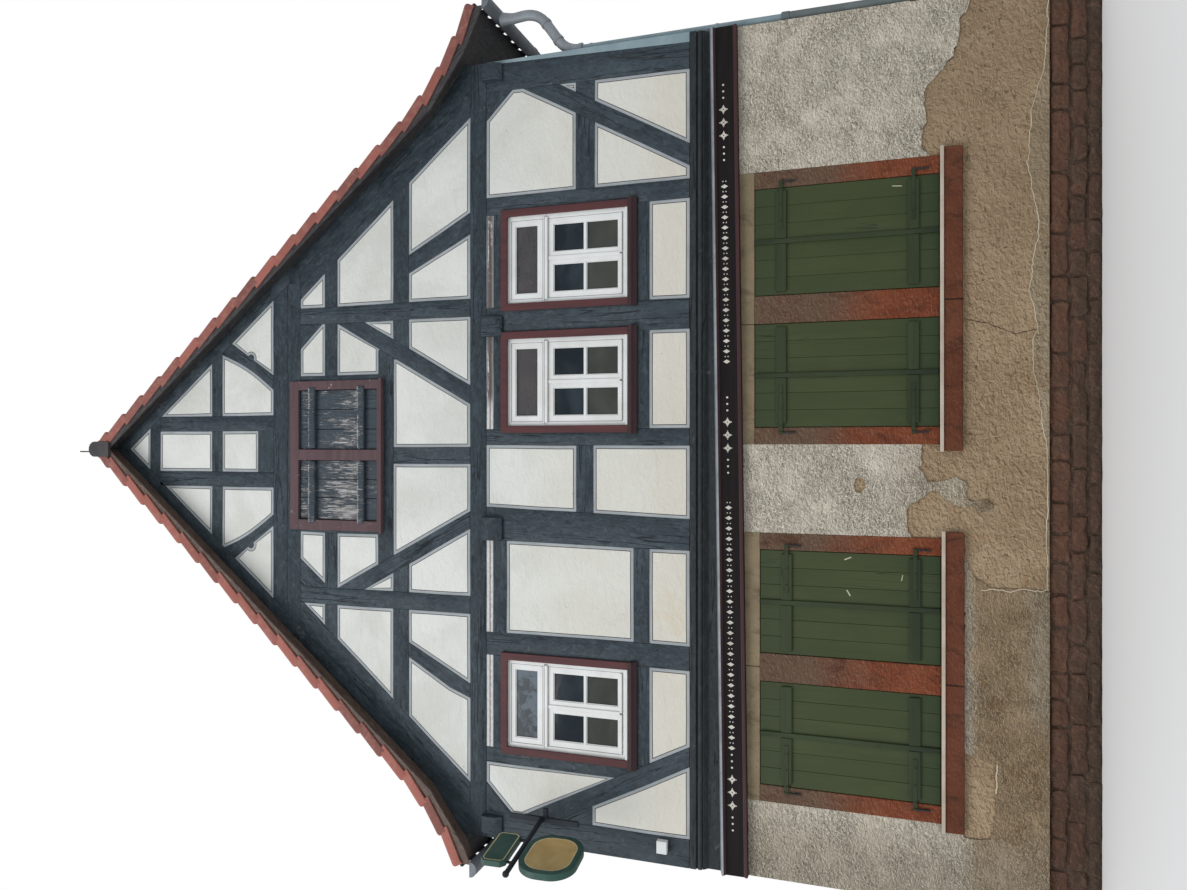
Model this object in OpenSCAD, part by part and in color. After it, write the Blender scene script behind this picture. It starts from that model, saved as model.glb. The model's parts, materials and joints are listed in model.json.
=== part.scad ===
// Half timbered town house with its gable to the street. Millimetres, +Z up.
// The origin is on the ground at the middle of the plan, and the street front faces -Y.

/* [House] */
// Width across the street front
house_w = 8140; // [7900:10:8600]
// Depth from the street front to the back wall
house_d = 9600; // [8400:50:12000]
// Thickness of the masonry walls of the ground storey
wall_t = 450; // [300:10:600]
// Thickness of the timber framed walls
frame_t = 160; // [120:5:220]
// How far the upper storey stands out over the street front
jetty = 60; // [40:5:120]
// How far the white panels lie behind the face of the timber
panel_recess = 8; // [4:1:20]
// Gap between timbers that are drawn in one piece of the list
seam = 2; // [1:0.5:4]

/* [Levels] */
// Height of the stone plinth
plinth_h = 410; // [300:10:600]
// How far the plinth lies back under the plaster
plinth_back = 25; // [10:5:60]
// Underside of the ground storey window openings
opening_z = 1295; // [1200:5:1400]
// Height of the ground storey window openings
opening_h = 1610; // [1400:10:1700]
// Masonry over the window openings, up to the sill beam
over_opening = 355; // [340:5:420]
// Height of the moulded sill beam
sill_beam_h = 305; // [290:5:320]
// Wall between the window frames of the upper storey and the tie beam
over_window = 195; // [180:5:260]
// Height of the tie beam
tie_h = 190; // [160:5:240]
// Thickness of the floors
floor_t = 210; // [150:10:250]

/* [Windows of the upper storey] */
// Clear width of a window bay between two posts
bay_w = 970; // [900:10:1000]
// Underside of the window frames above the sill beam
window_sill_up = 620; // [600:5:640]
// Height of the window frames
window_h = 1360; // [1300:10:1380]
// Width of the red boards round a window
architrave_w = 75; // [50:5:90]
// How far those boards stand out of the timber
architrave_t = 28; // [15:1:45]
// How far those boards cover the post beside the window
architrave_lap = 40; // [20:5:60]
// Width of a white frame member
frame_member = 75; // [60:1:85]
// Height of the lower frame member
frame_foot = 58; // [45:1:75]
// Height of the upper frame member
frame_head = 85; // [80:5:140]
// Height of the transom
transom_h = 46; // [45:1:80]
// Width of a white sash member
sash_member = 70; // [50:1:75]
// Width of a horizontal glazing bar
glazing_bar = 22; // [18:1:40]
// Height of the light over the transom
transom_light_h = 368; // [300:5:400]
// Thickness of a pane
glass_t = 4; // [3:1:8]

/* [Shutters and stone] */
// Width of the left window of each pair
opening_w = 987; // [900:1:1010]
// How much wider the right window of each pair is
opening_more = [0, 35]; // [0:1:60]
// Width of the stone mullion in the middle of a pair
mullion_w = 265; // [200:1:280]
// Width of a stone jamb
jamb_w = 160; // [120:5:190]
// Height of a stone lintel
lintel_h = 200; // [180:5:220]
// Height of a stone sill
stone_sill_h = 190; // [120:5:200]
// How far a sill runs past the jambs
sill_past = 58; // [40:1:90]
// Thickness of the plaster coat
coat_t = 14; // [8:1:25]
// How far the stone stands out of the plaster coat
stone_proud = 6; // [2:1:20]
// Depth of the stone surround in the wall
stone_depth = 240; // [200:5:280]
// Thickness of a shutter leaf
leaf_t = 30; // [22:1:40]
// Clearance round a shutter leaf
leaf_gap = 6; // [4:1:12]
// Height of a shutter batten
batten_h = 100; // [70:5:130]
// Thickness of a shutter batten
batten_t = 22; // [15:1:30]
// Width of the strip that covers the joint of two leaves
cover_w = 46; // [30:2:60]
// Radius of a hinge pin
pin_r = 9; // [6:0.5:12]

/* [Roof] */
// Height over the tie beam at which the flare of the eaves starts
flare_up = 560; // [520:10:620]
// Slope of the main roof in degrees
roof_pitch = 51; // [49:0.5:53]
// Slope of the upper part of the flared eaves
flare_pitch = 38; // [36:0.5:42]
// Slope of the lowest part of the eaves
eave_pitch = 26; // [24:0.5:32]
// Distance of the start of the flare from the face of the side walls
flare_in = 500; // [400:10:600]
// How far past the side walls the lowest part starts
eave_bend_out = 40; // [20:5:80]
// Eaves past the left wall
eave_left = 240; // [200:10:400]
// Eaves past the right wall
eave_right = 525; // [300:5:560]
// Roof past the gable walls
verge_out = 220; // [150:10:300]
// Thickness of tiles and battens
tile_t = 60; // [45:5:80]
// Depth of a rafter
rafter_h = 155; // [120:5:200]
// Width of an inner rafter
rafter_w = 120; // [90:5:160]
// Number of inner rafter couples
rafter_count = 10; // [6:1:14]
// Depth of the verge board
verge_h = 150; // [110:5:200]
// Thickness of verge and soffit boards
board_t = 24; // [18:1:35]
// Radius of the gutters
gutter_r = 80; // [60:1:90]
// Radius of the rain pipe
pipe_r = 40; // [30:1:50]

/* [Street front] */
// Height of the board over the ground storey
fascia_h = 240; // [200:5:280]
// Underside of that board below the top of the masonry, at the middle of the front
fascia_drop = 208; // [200:2:240]
// Tilt of that board in degrees, higher on the right
fascia_tilt = 0.75; // [0:0.05:0.9]
// Thickness of that board
fascia_t = 60; // [40:5:90]
// How far the beam ends stand out
boss_out = 70; // [40:5:110]
// Height of the sign arm below the tie beam
arm_down = 630; // [560:5:700]
// How far the sign arm reaches into the street
arm_out = 1000; // [900:10:1100]
// Radius of the sign arm
arm_r = 24; // [20:1:32]
// Height of the lower hanging board
hanging_h = 565; // [500:5:600]

/* [Hidden] */
hw = house_w / 2;
hd = house_d / 2;
masonry_top = opening_z + opening_h + over_opening;
fascia_z = masonry_top - fascia_drop;
front_y = -hd;
wall_y = front_y + jetty;
frame_z = masonry_top;
sill_top = frame_z + sill_beam_h;
storey_h = window_sill_up + window_h + over_window;
beam_z = sill_top + storey_h;
tie_top = beam_z + tie_h;

// Roof outline, from the ridge to the eaves
main_drop = tan(roof_pitch);
flare_x = hw - flare_in;
flare_z = tie_top + flare_up;
ridge_z = flare_z + flare_x * main_drop;
eave_bend_x = hw + eave_bend_out;
eave_bend_z = flare_z - (eave_bend_x - flare_x) * tan(flare_pitch);
function roof_line(eave) = [[0, ridge_z], [flare_x, flare_z], [eave_bend_x, eave_bend_z],
    [eave, eave_bend_z - (eave - eave_bend_x) * tan(eave_pitch)]];
roof_angles = [roof_pitch, (roof_pitch + flare_pitch) / 2, (flare_pitch + eave_pitch) / 2, eave_pitch];
function lowered(points, depth) = [for (i = [0 : len(points) - 1])
    [points[i][0], points[i][1] - depth / cos(roof_angles[i])]];
function flipped(points) = [for (i = [len(points) - 1 : -1 : 0]) points[i]];
eave_x = [hw + eave_left, hw + eave_right];
wall_line = lowered(roof_line(hw), tile_t);
under_apex = ridge_z - tile_t / cos(roof_pitch);
inner_apex = under_apex - rafter_h / cos(roof_pitch);
function inner_x(z) = (inner_apex - z) / main_drop;

// Places on the street front are drawn for these sizes and follow the house
across = house_w / 8140;
along = house_d / 9600;
rise = (inner_apex - tie_top) / 4627;
function over(list, k) = [for (v = list) is_list(v) ? over(v, k) : v * k];
function points_over(list, kx, kz, z0 = 0) = [for (p = list) [p[0] * kx, z0 + p[1] * kz]];

// Middles of the three windows of the street front
window_x = over([-2635, 700, 1970], across);
// The two pairs of windows below: left edge, then how far their foot and head lie off the common levels
pairs = [[-3183 * across, -13, -12], [216 * across, 0, 40]];
pair_end = [for (i = [0, 1]) pairs[i][0] + 2 * opening_w + mullion_w + opening_more[i]];
pair_z = [for (i = [0, 1]) opening_z + pairs[i][1]];
pair_top = [for (i = [0, 1]) opening_z + opening_h + pairs[i][2]];
// Each window of a pair as [left, right, foot, head]
function pair_openings(i) = [
    [pairs[i][0], pairs[i][0] + opening_w, pair_z[i], pair_top[i]],
    [pairs[i][0] + opening_w + mullion_w, pair_end[i], pair_z[i], pair_top[i]]];
corner_w = 280;
post_a_w = 160;
post_b_w = 240;
post_c = over([-980, -670, -950, -600], across);
post_d_w = 170;
post_f_w = 190;
right_lean = [360, 100, 315, 25];

// Rails of the storey, as heights above the sill beam
window_rail = [405, window_sill_up - 95];
window_bottom = sill_top + window_sill_up;
window_top = window_bottom + window_h;
head_rail_h = 115;
side_rail = [1000, 1165];
middle_rail = [990, 1170];
right_rail = [975, 1175];
sill_board_h = 95;

// Heights in the gable, all counted from the tie beam
tier_rail = over([740, 930], rise);
hatch_rail = over([930, 1120], rise);
upper_rail = over([1650, 1810], rise);
collar_rail = over([2140, 2310], rise);
collar = over([2310, 2510], rise);
short_rail_h = 210;
attic_rail = over([3235, 3380], rise);
top_rail = over([4160, 4310], rise);
gable_posts_x = over([[-1740, -1550], [1410, 1600]], across);
king_x = over([-155, 25], across);
attic_posts_x = over([[-440, -265], [210, 390]], across);
hatch_posts_x = over([[-935, -830], [700, 830]], across);
hatch_frame_x = over([-905, 770], across);
hatch_leaves_x = over([[-790, -120], [0, 670]], across);
principal_foot = 3525 * across;
principal_head = 1700 * across;
hatch_frame_t = 32;
hatch_up = 120;

wood = [0.25, 0.30, 0.34];
white = [0.85, 0.84, 0.80];
stone = [0.55, 0.32, 0.24];
green = [0.27, 0.35, 0.24];
oxide = [0.38, 0.26, 0.27];
tile_red = [0.52, 0.32, 0.29];
plaster = [0.62, 0.56, 0.48];
pale_blue = [0.55, 0.62, 0.64];
zinc = [0.45, 0.47, 0.49];
dark = [0.18, 0.16, 0.17];

// Placing

// A flat outline in X and Z, made solid from y to y + t
module upright(y, t) {
    translate([0, y + t, 0]) rotate([90, 0, 0]) linear_extrude(t) children();
}

// Side 0 is the street front, 1 the right, 2 the rear and 3 the left
module at_side(side) {
    rotate([0, 0, 90 * side]) children();
}

function side_y(side) = side % 2 == 0 ? -hd : -hw;

module bar(x0, x1, z0, z1, grow = 0) {
    translate([x0 - grow, z0]) square([x1 - x0 + 2 * grow, z1 - z0]);
}

module leaning(b0, b1, t0, t1, z0, z1, grow = 0) {
    polygon([[b0 - grow, z0], [b1 + grow, z0], [t1 + grow, z1], [t0 - grow, z1]]);
}

module both_ways() {
    children();
    mirror([1, 0, 0]) children();
}

// Timber outlines of the street front

function bay(i) = [window_x[i] - bay_w / 2, window_x[i] + bay_w / 2];

module corner_posts_2d(grow = 0) {
    bar(-hw, -hw + corner_w, sill_top, beam_z, grow);
    leaning(hw - right_lean[0], hw - right_lean[1], hw - right_lean[2], hw - right_lean[3],
        sill_top, beam_z, grow);
}

module inner_posts_2d(grow = 0) {
    bar(bay(0)[1], bay(0)[1] + post_b_w, sill_top, beam_z, grow);
    leaning(post_c[0], post_c[1], post_c[2], post_c[3], sill_top, beam_z, grow);
    bar(bay(1)[0] - post_d_w, bay(1)[0], sill_top, beam_z, grow);
    bar(bay(1)[1], bay(2)[0], sill_top, beam_z, grow);
    bar(bay(2)[1], bay(2)[1] + post_f_w, sill_top, beam_z, grow);
}

// This post stands on the left brace, which runs past it
module short_post_2d(grow = 0) {
    difference() {
        bar(bay(0)[0] - post_a_w, bay(0)[0], sill_top + window_rail[0], beam_z, grow);
        long_braces_2d(grow);
    }
}

module storey_posts_2d(grow = 0) {
    corner_posts_2d(grow);
    inner_posts_2d(grow);
    short_post_2d(grow);
}

left_foot = over([-3090, -2890], across);
left_slope = 0.51 * across;
right_foot = over([2770, 2985], across);
right_slope = 0.555 * across;
left_rail_top = (hw - corner_w + left_foot[0]) / left_slope + 4;
brace_top = storey_h - 345;

module long_braces_2d(grow = 0) {
    leaning(left_foot[0], left_foot[1], left_foot[0] - left_slope * brace_top,
        left_foot[1] - left_slope * brace_top, sill_top, sill_top + brace_top, grow);
    leaning(right_foot[0], right_foot[1], right_foot[0] + right_slope * brace_top,
        right_foot[1] + right_slope * brace_top, sill_top, sill_top + brace_top, grow);
}

knee = 300;
module knees_2d() {
    polygon([[-hw + corner_w, beam_z], [-hw + corner_w, beam_z - knee], [-hw + corner_w + knee, beam_z]]);
    right_edge = hw - right_lean[2];
    polygon([[right_edge - knee, beam_z], [right_edge - 4, beam_z - knee], [right_edge, beam_z]]);
}

// All that lies between the two corner posts
module between_corners_2d() {
    polygon([[-hw + corner_w, sill_top], [hw - right_lean[0], sill_top], [hw - right_lean[2], beam_z],
        [-hw + corner_w, beam_z]]);
}

module storey_braces_2d(grow = 0) {
    intersection() {
        long_braces_2d(grow);
        between_corners_2d();
    }
    knees_2d();
}

module storey_rails_2d() {
    difference() {
        union() {
            bar(-hw + corner_w, left_foot[0] - left_slope * side_rail[0], sill_top + side_rail[0],
                sill_top + left_rail_top);
            for (i = [0 : 2]) {
                bar(bay(i)[0], bay(i)[1], sill_top + window_rail[0], sill_top + window_rail[1]);
                bar(bay(i)[0], bay(i)[1], window_top, window_top + head_rail_h);
            }
            bar(bay(0)[1] + post_b_w, post_c[0] + 40, sill_top + window_rail[0], window_bottom - 55);
            bar(bay(0)[1] + post_b_w, post_c[0] + 40, window_top - 35, window_top + head_rail_h);
            bar(post_c[1] - 30, bay(1)[0] - post_d_w, sill_top + middle_rail[0],
                sill_top + middle_rail[1]);
            bar(bay(2)[1] + post_f_w, hw - right_lean[2], sill_top + right_rail[0],
                sill_top + right_rail[1]);
        }
        storey_posts_2d();
        long_braces_2d();
    }
}

// Outlines of the gable

module gable_posts_2d(grow = 0, hatch = true) {
    for (p = gable_posts_x) bar(p[0], p[1], tie_top, tie_top + collar_rail[0], grow);
    bar(king_x[0], king_x[1], tie_top, tie_top + hatch_rail[0], grow);
    for (p = attic_posts_x) bar(p[0], p[1], tie_top + collar[1], tie_top + top_rail[0], grow);
    for (p = hatch_posts_x) bar(p[0], p[1], tie_top + hatch_rail[1], tie_top + collar_rail[0], grow);
    if (!hatch) bar(king_x[0], king_x[1], tie_top + hatch_rail[1], tie_top + collar_rail[0], grow);
}

// Big braces that rise outwards from the tie beam to the gable posts
cross_foot = over([[-840, -650], [480, 680]], across);
cross_slope = over([0.545, 0.562], across / rise);
cross_h = 1660 * rise;
module cross_braces_2d(grow = 0) {
    difference() {
        union() {
            leaning(cross_foot[0][0], cross_foot[0][1], cross_foot[0][0] - cross_slope[0] * cross_h,
                cross_foot[0][1] - cross_slope[0] * cross_h, tie_top, tie_top + cross_h, grow);
            leaning(cross_foot[1][0], cross_foot[1][1], cross_foot[1][0] + cross_slope[1] * cross_h,
                cross_foot[1][1] + cross_slope[1] * cross_h, tie_top, tie_top + cross_h, grow);
        }
        bar(-hw, gable_posts_x[0][1], tie_top, tie_top + collar[0]);
        bar(gable_posts_x[1][0], hw, tie_top, tie_top + collar[0]);
    }
}

// Short leaning struts outside the gable posts, the left one slightly bowed
strut_left = [[-2630, 0], [-2540, 240], [-2250, 740], [-2090, 740], [-2480, 0]];
strut_right = [[2280, 0], [1910, 740], [2110, 740], [2510, 0]];
left_knee = [[-1550, 1810], [-1510, 1810], [-1240, 2140], [-1550, 2140]];
right_knee = [[1410, 1850], [1410, 2140], [1140, 2140]];
function lifted(points) = points_over(points, across, rise, tie_top);
module struts_2d() {
    polygon(lifted(strut_left));
    polygon(lifted(strut_right));
}

module gable_knees_2d() {
    polygon(lifted(left_knee));
    polygon(lifted(right_knee));
}

// Curved braces over the collar beam, with a small round nose on the outside.
// Each row is one brace: outer and inner place at the foot, outer and inner place at the top
curved = over([[-880, -750, -1400, -1160], [845, 680, 1330, 1110]], across);
curve_bow = 45 * across;
nose_r = 42;
nose_at = 0.44;
function bowed(from, to, bow, steps) = [for (i = [0 : steps]) let (s = i / steps)
    [from[0] + (to[0] - from[0]) * s + bow * sin(180 * s), from[1] + (to[1] - from[1]) * s]];
module curved_brace_2d(c) {
    out = c[0] < 0 ? -1 : 1;
    foot_z = tie_top + collar[1];
    head_z = tie_top + attic_rail[0];
    polygon(concat(bowed([c[1], foot_z], [c[3], head_z], out * curve_bow, 8), [[c[2], head_z], [c[0], foot_z]]));
    translate([c[0] + (c[2] - c[0]) * nose_at, foot_z + (head_z - foot_z) * nose_at])
        circle(r = nose_r, $fn = 24);
}
module curved_braces_2d() {
    intersection() {
        for (c = curved) curved_brace_2d(c);
        rafter_inside_2d();
    }
}

// All that lies inside the gable rafters
module rafter_inside_2d() {
    polygon([[-inner_x(tie_top), tie_top], [inner_x(tie_top), tie_top], [0, inner_apex]]);
}

module principal_2d(side) {
    head = tie_top + collar_rail[0];
    polygon([[side * principal_foot, tie_top], [side * inner_x(tie_top), tie_top],
        [side * inner_x(head), head], [side * principal_head, head]]);
}

module gable_rafter_2d(side) {
    x = function(p) [side * p[0], p[1]];
    polygon([x([seam / 2, under_apex]), for (i = [1 : 3]) x(wall_line[i]), x([hw, tie_top]),
        x([inner_x(tie_top), tie_top]), x([seam / 2, inner_apex])]);
}

left_cross_mid = -1185 * across;
right_cross_mid = 985 * across;
module gable_rails_2d() {
    difference() {
        intersection() {
            union() {
                bar(-hw, left_cross_mid, tie_top + tier_rail[0], tie_top + tier_rail[1]);
                bar(right_cross_mid, hw, tie_top + tier_rail[0], tie_top + tier_rail[1]);
                bar(left_cross_mid - 110, right_cross_mid + 110, tie_top + hatch_rail[0],
                    tie_top + hatch_rail[1]);
                bar(-hw, hatch_posts_x[0][0], tie_top + upper_rail[0], tie_top + upper_rail[1]);
                bar(hatch_posts_x[1][1], hw, tie_top + upper_rail[0], tie_top + upper_rail[1]);
                bar(-hw, hw, tie_top + collar_rail[0], tie_top + collar_rail[1]);
                bar(attic_posts_x[0][1], attic_posts_x[1][0], tie_top + collar[1],
                    tie_top + collar[1] + short_rail_h);
                bar(-hw, hw, tie_top + attic_rail[0], tie_top + attic_rail[1]);
                bar(-hw, hw, tie_top + top_rail[0], tie_top + top_rail[1]);
            }
            rafter_inside_2d();
        }
        principal_2d(-1);
        principal_2d(1);
        gable_posts_2d();
        cross_braces_2d();
    }
}

module gable_braces_2d(grow = 0) {
    cross_braces_2d(grow);
    struts_2d();
    gable_knees_2d();
    curved_braces_2d();
}

module collar_2d() {
    intersection() {
        bar(-hw, hw, tie_top + collar[0], tie_top + collar[1]);
        rafter_inside_2d();
    }
}

module window_bays_2d() {
    for (i = [0 : 2]) bar(bay(i)[0], bay(i)[1], sill_top + window_rail[1], window_top);
}

// Each member cuts the plaster twice, a hair apart, so that no film of plaster is left in a joint
film = 0.05;
module gable_panels_2d(hatch) {
    difference() {
        bar(-hw, hw - corner_w, sill_top, beam_z);
        for (d = [-film, film]) translate([d, d]) {
            storey_posts_2d();
            storey_rails_2d();
            storey_braces_2d();
            window_bays_2d();
        }
    }
    difference() {
        rafter_inside_2d();
        for (d = [-film, film]) translate([d, d]) {
            gable_posts_2d(0, hatch);
            gable_rails_2d();
            gable_braces_2d();
            collar_2d();
            principal_2d(-1);
            principal_2d(1);
            if (hatch) bar(hatch_posts_x[0][1], hatch_posts_x[1][0], tie_top + hatch_rail[1],
                tie_top + collar_rail[0]);
        }
    }
}

// Windows

sill_ledge = window_sill_up - window_rail[1];

function light_z(z, h) = z + h - frame_head - transom_light_h;

module window_frame(x, z, w, h, y) {
    half = w / 2 - frame_member;
    upright(y, 62) difference() {
        bar(x - w / 2, x + w / 2, z, z + h);
        bar(x - half, x + half, z + frame_foot, light_z(z, h) - transom_h);
        bar(x - half, x + half, light_z(z, h), z + h - frame_head);
    }
}

module sash(x0, x1, z0, z1, y, bars) {
    upright(y + 6, 44) difference() {
        bar(x0, x1, z0, z1);
        pane_h = (z1 - z0 - 2 * sash_member - (bars ? glazing_bar : 0)) / (bars ? 2 : 1);
        bar(x0 + sash_member, x1 - sash_member, z0 + sash_member, z0 + sash_member + pane_h);
        if (bars) bar(x0 + sash_member, x1 - sash_member, z1 - sash_member - pane_h, z1 - sash_member);
    }
}

module sashes(x, z, w, h, y) {
    half = w / 2 - frame_member;
    sash(x - half, x + half, light_z(z, h), z + h - frame_head, y, false);
    sash(x - half, x - 1.5, z + frame_foot, light_z(z, h) - transom_h, y, true);
    sash(x + 1.5, x + half, z + frame_foot, light_z(z, h) - transom_h, y, true);
}

module panes(x, z, w, h, y) {
    half = w / 2 - frame_member - sash_member;
    low = z + frame_foot + sash_member;
    pane_h = (light_z(z, h) - transom_h - sash_member - low - glazing_bar) / 2;
    upright(y + 26, glass_t) {
        bar(x - half, x + half, light_z(z, h) + sash_member, z + h - frame_head - sash_member);
        for (z0 = [low, low + pane_h + glazing_bar]) {
            bar(x - half, x - sash_member - 1.5, z0, z0 + pane_h);
            bar(x + sash_member + 1.5, x + half, z0, z0 + pane_h);
        }
    }
}

// Walls along the sides, where the same timber repeats in even bays
side_bays = 8;
side_post_w = 160;
side_len = house_d - 2 * frame_t;
side_pitch = (side_len - side_post_w) / side_bays;
side_windows = [1, 4, 6];
side_braced = [0, 7];
function side_bay(i) = [-side_len / 2 + side_post_w + i * side_pitch, -side_len / 2 + (i + 1) * side_pitch];
function is_side_window(i) = len(search(i, side_windows)) > 0;

module side_posts_2d(grow = 0) {
    for (i = [0 : side_bays]) {
        x = -side_len / 2 + i * side_pitch;
        bar(x, x + side_post_w, sill_top, beam_z, grow);
    }
}

module side_braces_2d(gap = 0, grow = 0) {
    difference() {
        for (i = side_braced) {
            b = side_bay(i);
            run = (i == 0 ? -1 : 1) * (b[1] - b[0] - 180);
            foot = i == 0 ? b[1] - 180 : b[0];
            leaning(foot, foot + 180, foot + run, foot + 180 + run, sill_top, beam_z, grow);
        }
        side_posts_2d(gap);
    }
}

module side_rails_2d(gap = 0) {
    difference() {
        for (i = [0 : side_bays - 1]) {
            b = side_bay(i);
            if (is_side_window(i)) {
                bar(b[0], b[1], sill_top + window_rail[0], sill_top + window_rail[1]);
                bar(b[0], b[1], window_top, window_top + head_rail_h);
            } else {
                bar(b[0], b[1], sill_top + side_rail[0], sill_top + side_rail[1]);
            }
        }
        side_posts_2d(gap);
        side_braces_2d(0, gap);
    }
}

module side_panels_2d() {
    difference() {
        bar(-side_len / 2, side_len / 2, sill_top, beam_z);
        side_posts_2d();
        side_braces_2d();
        side_rails_2d();
        for (i = side_windows) bar(side_bay(i)[0], side_bay(i)[1], sill_top + window_rail[1], window_top);
    }
}

// Ground storey openings: [middle, width, underside, height]
plain_w = 1000;
door_w = 1050;
door_h = 2150;
left_openings = [for (x = [-1200, 1500]) [x * along, plain_w, opening_z, opening_h]];
door_x = 3300 * along;
right_openings = [for (x = [-2700, 0, 2700]) [x * along, plain_w, opening_z, opening_h]];
rear_openings = [for (x = [-2050, 1330]) [x * across, plain_w, opening_z, opening_h]];
function openings_of(side) = side == 1 ? right_openings : side == 2 ? rear_openings : left_openings;

module stone_hole_2d(x0, x1, z0, z1) {
    bar(x0 - jamb_w, x1 + jamb_w, z0 - stone_sill_h, z1 + lintel_h);
}

module pair_hole_2d(i) {
    stone_hole_2d(pairs[i][0], pair_end[i], pair_z[i], pair_top[i]);
}

module ground_wall_2d(side, x0, x1) {
    difference() {
        bar(x0, x1, plinth_h, masonry_top);
        if (side == 0) for (i = [0, 1]) pair_hole_2d(i);
        else for (o = openings_of(side)) stone_hole_2d(o[0] - o[1] / 2, o[0] + o[1] / 2, o[2], o[2] + o[3]);
        if (side == 3) bar(door_x - door_w / 2, door_x + door_w / 2, plinth_h - 10, plinth_h + door_h);
    }
}

function ground_y(side) = side == 0 ? wall_y : side_y(side);

// Pieces of the ground storey

module plinth() {
    color([0.37, 0.28, 0.26]) difference() {
        translate([-hw + plinth_back, wall_y + plinth_back, 0])
            cube([house_w - 2 * plinth_back, house_d - jetty - 2 * plinth_back, plinth_h]);
        translate([-hw + wall_t, wall_y + wall_t, -1])
            cube([house_w - 2 * wall_t, house_d - jetty - 2 * wall_t, plinth_h + 2]);
    }
}

module ground_floor() {
    color([0.5, 0.48, 0.45]) translate([-hw + wall_t, wall_y + wall_t, 0])
        cube([house_w - 2 * wall_t, house_d - jetty - 2 * wall_t, plinth_h]);
}

module ground_wall_front() {
    color(plaster) upright(wall_y + coat_t, wall_t - coat_t) ground_wall_2d(0, -hw, hw);
}

module ground_wall_rear() {
    color(plaster) at_side(2) upright(side_y(2), wall_t) ground_wall_2d(2, -hw, hw);
}

module ground_wall_right() {
    color(plaster) at_side(1) upright(side_y(1), wall_t)
        ground_wall_2d(1, wall_y + wall_t, hd - wall_t);
}

module ground_wall_left() {
    color(plaster) at_side(3) upright(side_y(3), wall_t)
        ground_wall_2d(3, -(hd - wall_t), -(wall_y + wall_t));
}

// The coat has come away below the right window and beside it, down to the smooth plaster
bare_edge = [[-1220, 0], [-1214, 264], [-1205, 479], [-1150, 571], [-1065, 648], [-850, 690], [-812, 1107],
    [-736, 1150], [-621, 1169], [-492, 1150], [-434, 1058], [-373, 977], [-359, 899], [-439, 835],
    [-502, 699], [-475, 624], [-549, 555], [-532, 472], [-477, 445], [-438, 491], [-450, 606],
    [-418, 662], [-280, 675], [-240, 741], [-283, 875], [-264, 1006], [-157, 1054], [-55, 1039],
    [60, 1025], [2648, 965], [2722, 1024], [2825, 1046], [2953, 1002], [3206, 1021], [3316, 960],
    [3477, 810], [3530, 768], [3668, 733], [3834, 720], [3995, 633], [4080, 655], [4080, -10], [-1220, -10]];
bare_patch = [[-3444, 690], [-3438, 600], [-3421, 456], [-3289, 440], [-3038, 427], [-2765, 436],
    [-2736, 514], [-2709, 606], [-2680, 690]];
bare_spot = [[-379, 1615], [-330, 1624], [-253, 1605], [-262, 1536], [-345, 1520], [-392, 1567]];
module front_plaster_coat() {
    color([0.68, 0.66, 0.60]) upright(wall_y, coat_t) difference() {
        bar(-hw, hw, plinth_h, masonry_top);
        for (bare = [bare_edge, bare_patch, bare_spot]) polygon(points_over(bare, across, 1, plinth_h));
        for (i = [0, 1]) {
            pair_hole_2d(i);
            bar(pairs[i][0] - jamb_w - sill_past, pair_end[i] + jamb_w + sill_past,
                pair_z[i] - stone_sill_h, pair_z[i]);
        }
    }
}

module stone_lintels() {
    color([0.60, 0.52, 0.42]) {
        upright(wall_y - stone_proud, stone_depth) for (i = [0, 1]) {
            joint = pairs[i][0] + opening_w + mullion_w * (1 - i) / 2;
            bar(pairs[i][0] - jamb_w, joint - seam, pair_top[i], pair_top[i] + lintel_h);
            bar(joint + seam, pair_end[i] + jamb_w, pair_top[i], pair_top[i] + lintel_h);
        }
        for (side = [1 : 3]) at_side(side) upright(side_y(side) - stone_proud, stone_depth)
            for (o = openings_of(side))
                bar(o[0] - o[1] / 2 - jamb_w, o[0] + o[1] / 2 + jamb_w, o[2] + o[3], o[2] + o[3] + lintel_h);
    }
}

module jambs_2d(x0, x1, z0, z1) {
    bar(x0 - jamb_w, x0, z0, z1);
    bar(x1, x1 + jamb_w, z0, z1);
}

module stone_jambs() {
    color(stone) {
        upright(wall_y - stone_proud, stone_depth) for (i = [0, 1]) {
            jambs_2d(pairs[i][0], pair_end[i], pair_z[i], pair_top[i]);
            bar(pairs[i][0] + opening_w, pairs[i][0] + opening_w + mullion_w, pair_z[i], pair_top[i]);
        }
        for (side = [1 : 3]) at_side(side) upright(side_y(side) - stone_proud, stone_depth)
            for (o = openings_of(side)) jambs_2d(o[0] - o[1] / 2, o[0] + o[1] / 2, o[2], o[2] + o[3]);
    }
}

// A sill stone sits in the wall and runs past the jambs where it stands out
sill_out = 45;
module stone_sill(x0, x1, z, y) {
    upright(y - stone_proud, stone_depth) bar(x0 - jamb_w, x1 + jamb_w, z - stone_sill_h, z);
    upright(y - sill_out, sill_out - stone_proud)
        bar(x0 - jamb_w - sill_past, x1 + jamb_w + sill_past, z - stone_sill_h, z);
}
module stone_sills() {
    color([0.47, 0.26, 0.19]) {
        for (i = [0, 1]) stone_sill(pairs[i][0], pair_end[i], pair_z[i], wall_y);
        for (side = [1 : 3]) at_side(side) for (o = openings_of(side))
            stone_sill(o[0] - o[1] / 2, o[0] + o[1] / 2, o[2], side_y(side));
    }
}

drip_h = 32;
drip_t = 16;
module sill_drip_strips() {
    color([0.78, 0.72, 0.66]) for (i = [0, 1]) upright(wall_y - sill_out - drip_t, drip_t)
        bar(pairs[i][0] - jamb_w - sill_past - 8, pair_end[i] + jamb_w + sill_past + 8,
            pair_z[i] - drip_h, pair_z[i]);
}

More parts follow.
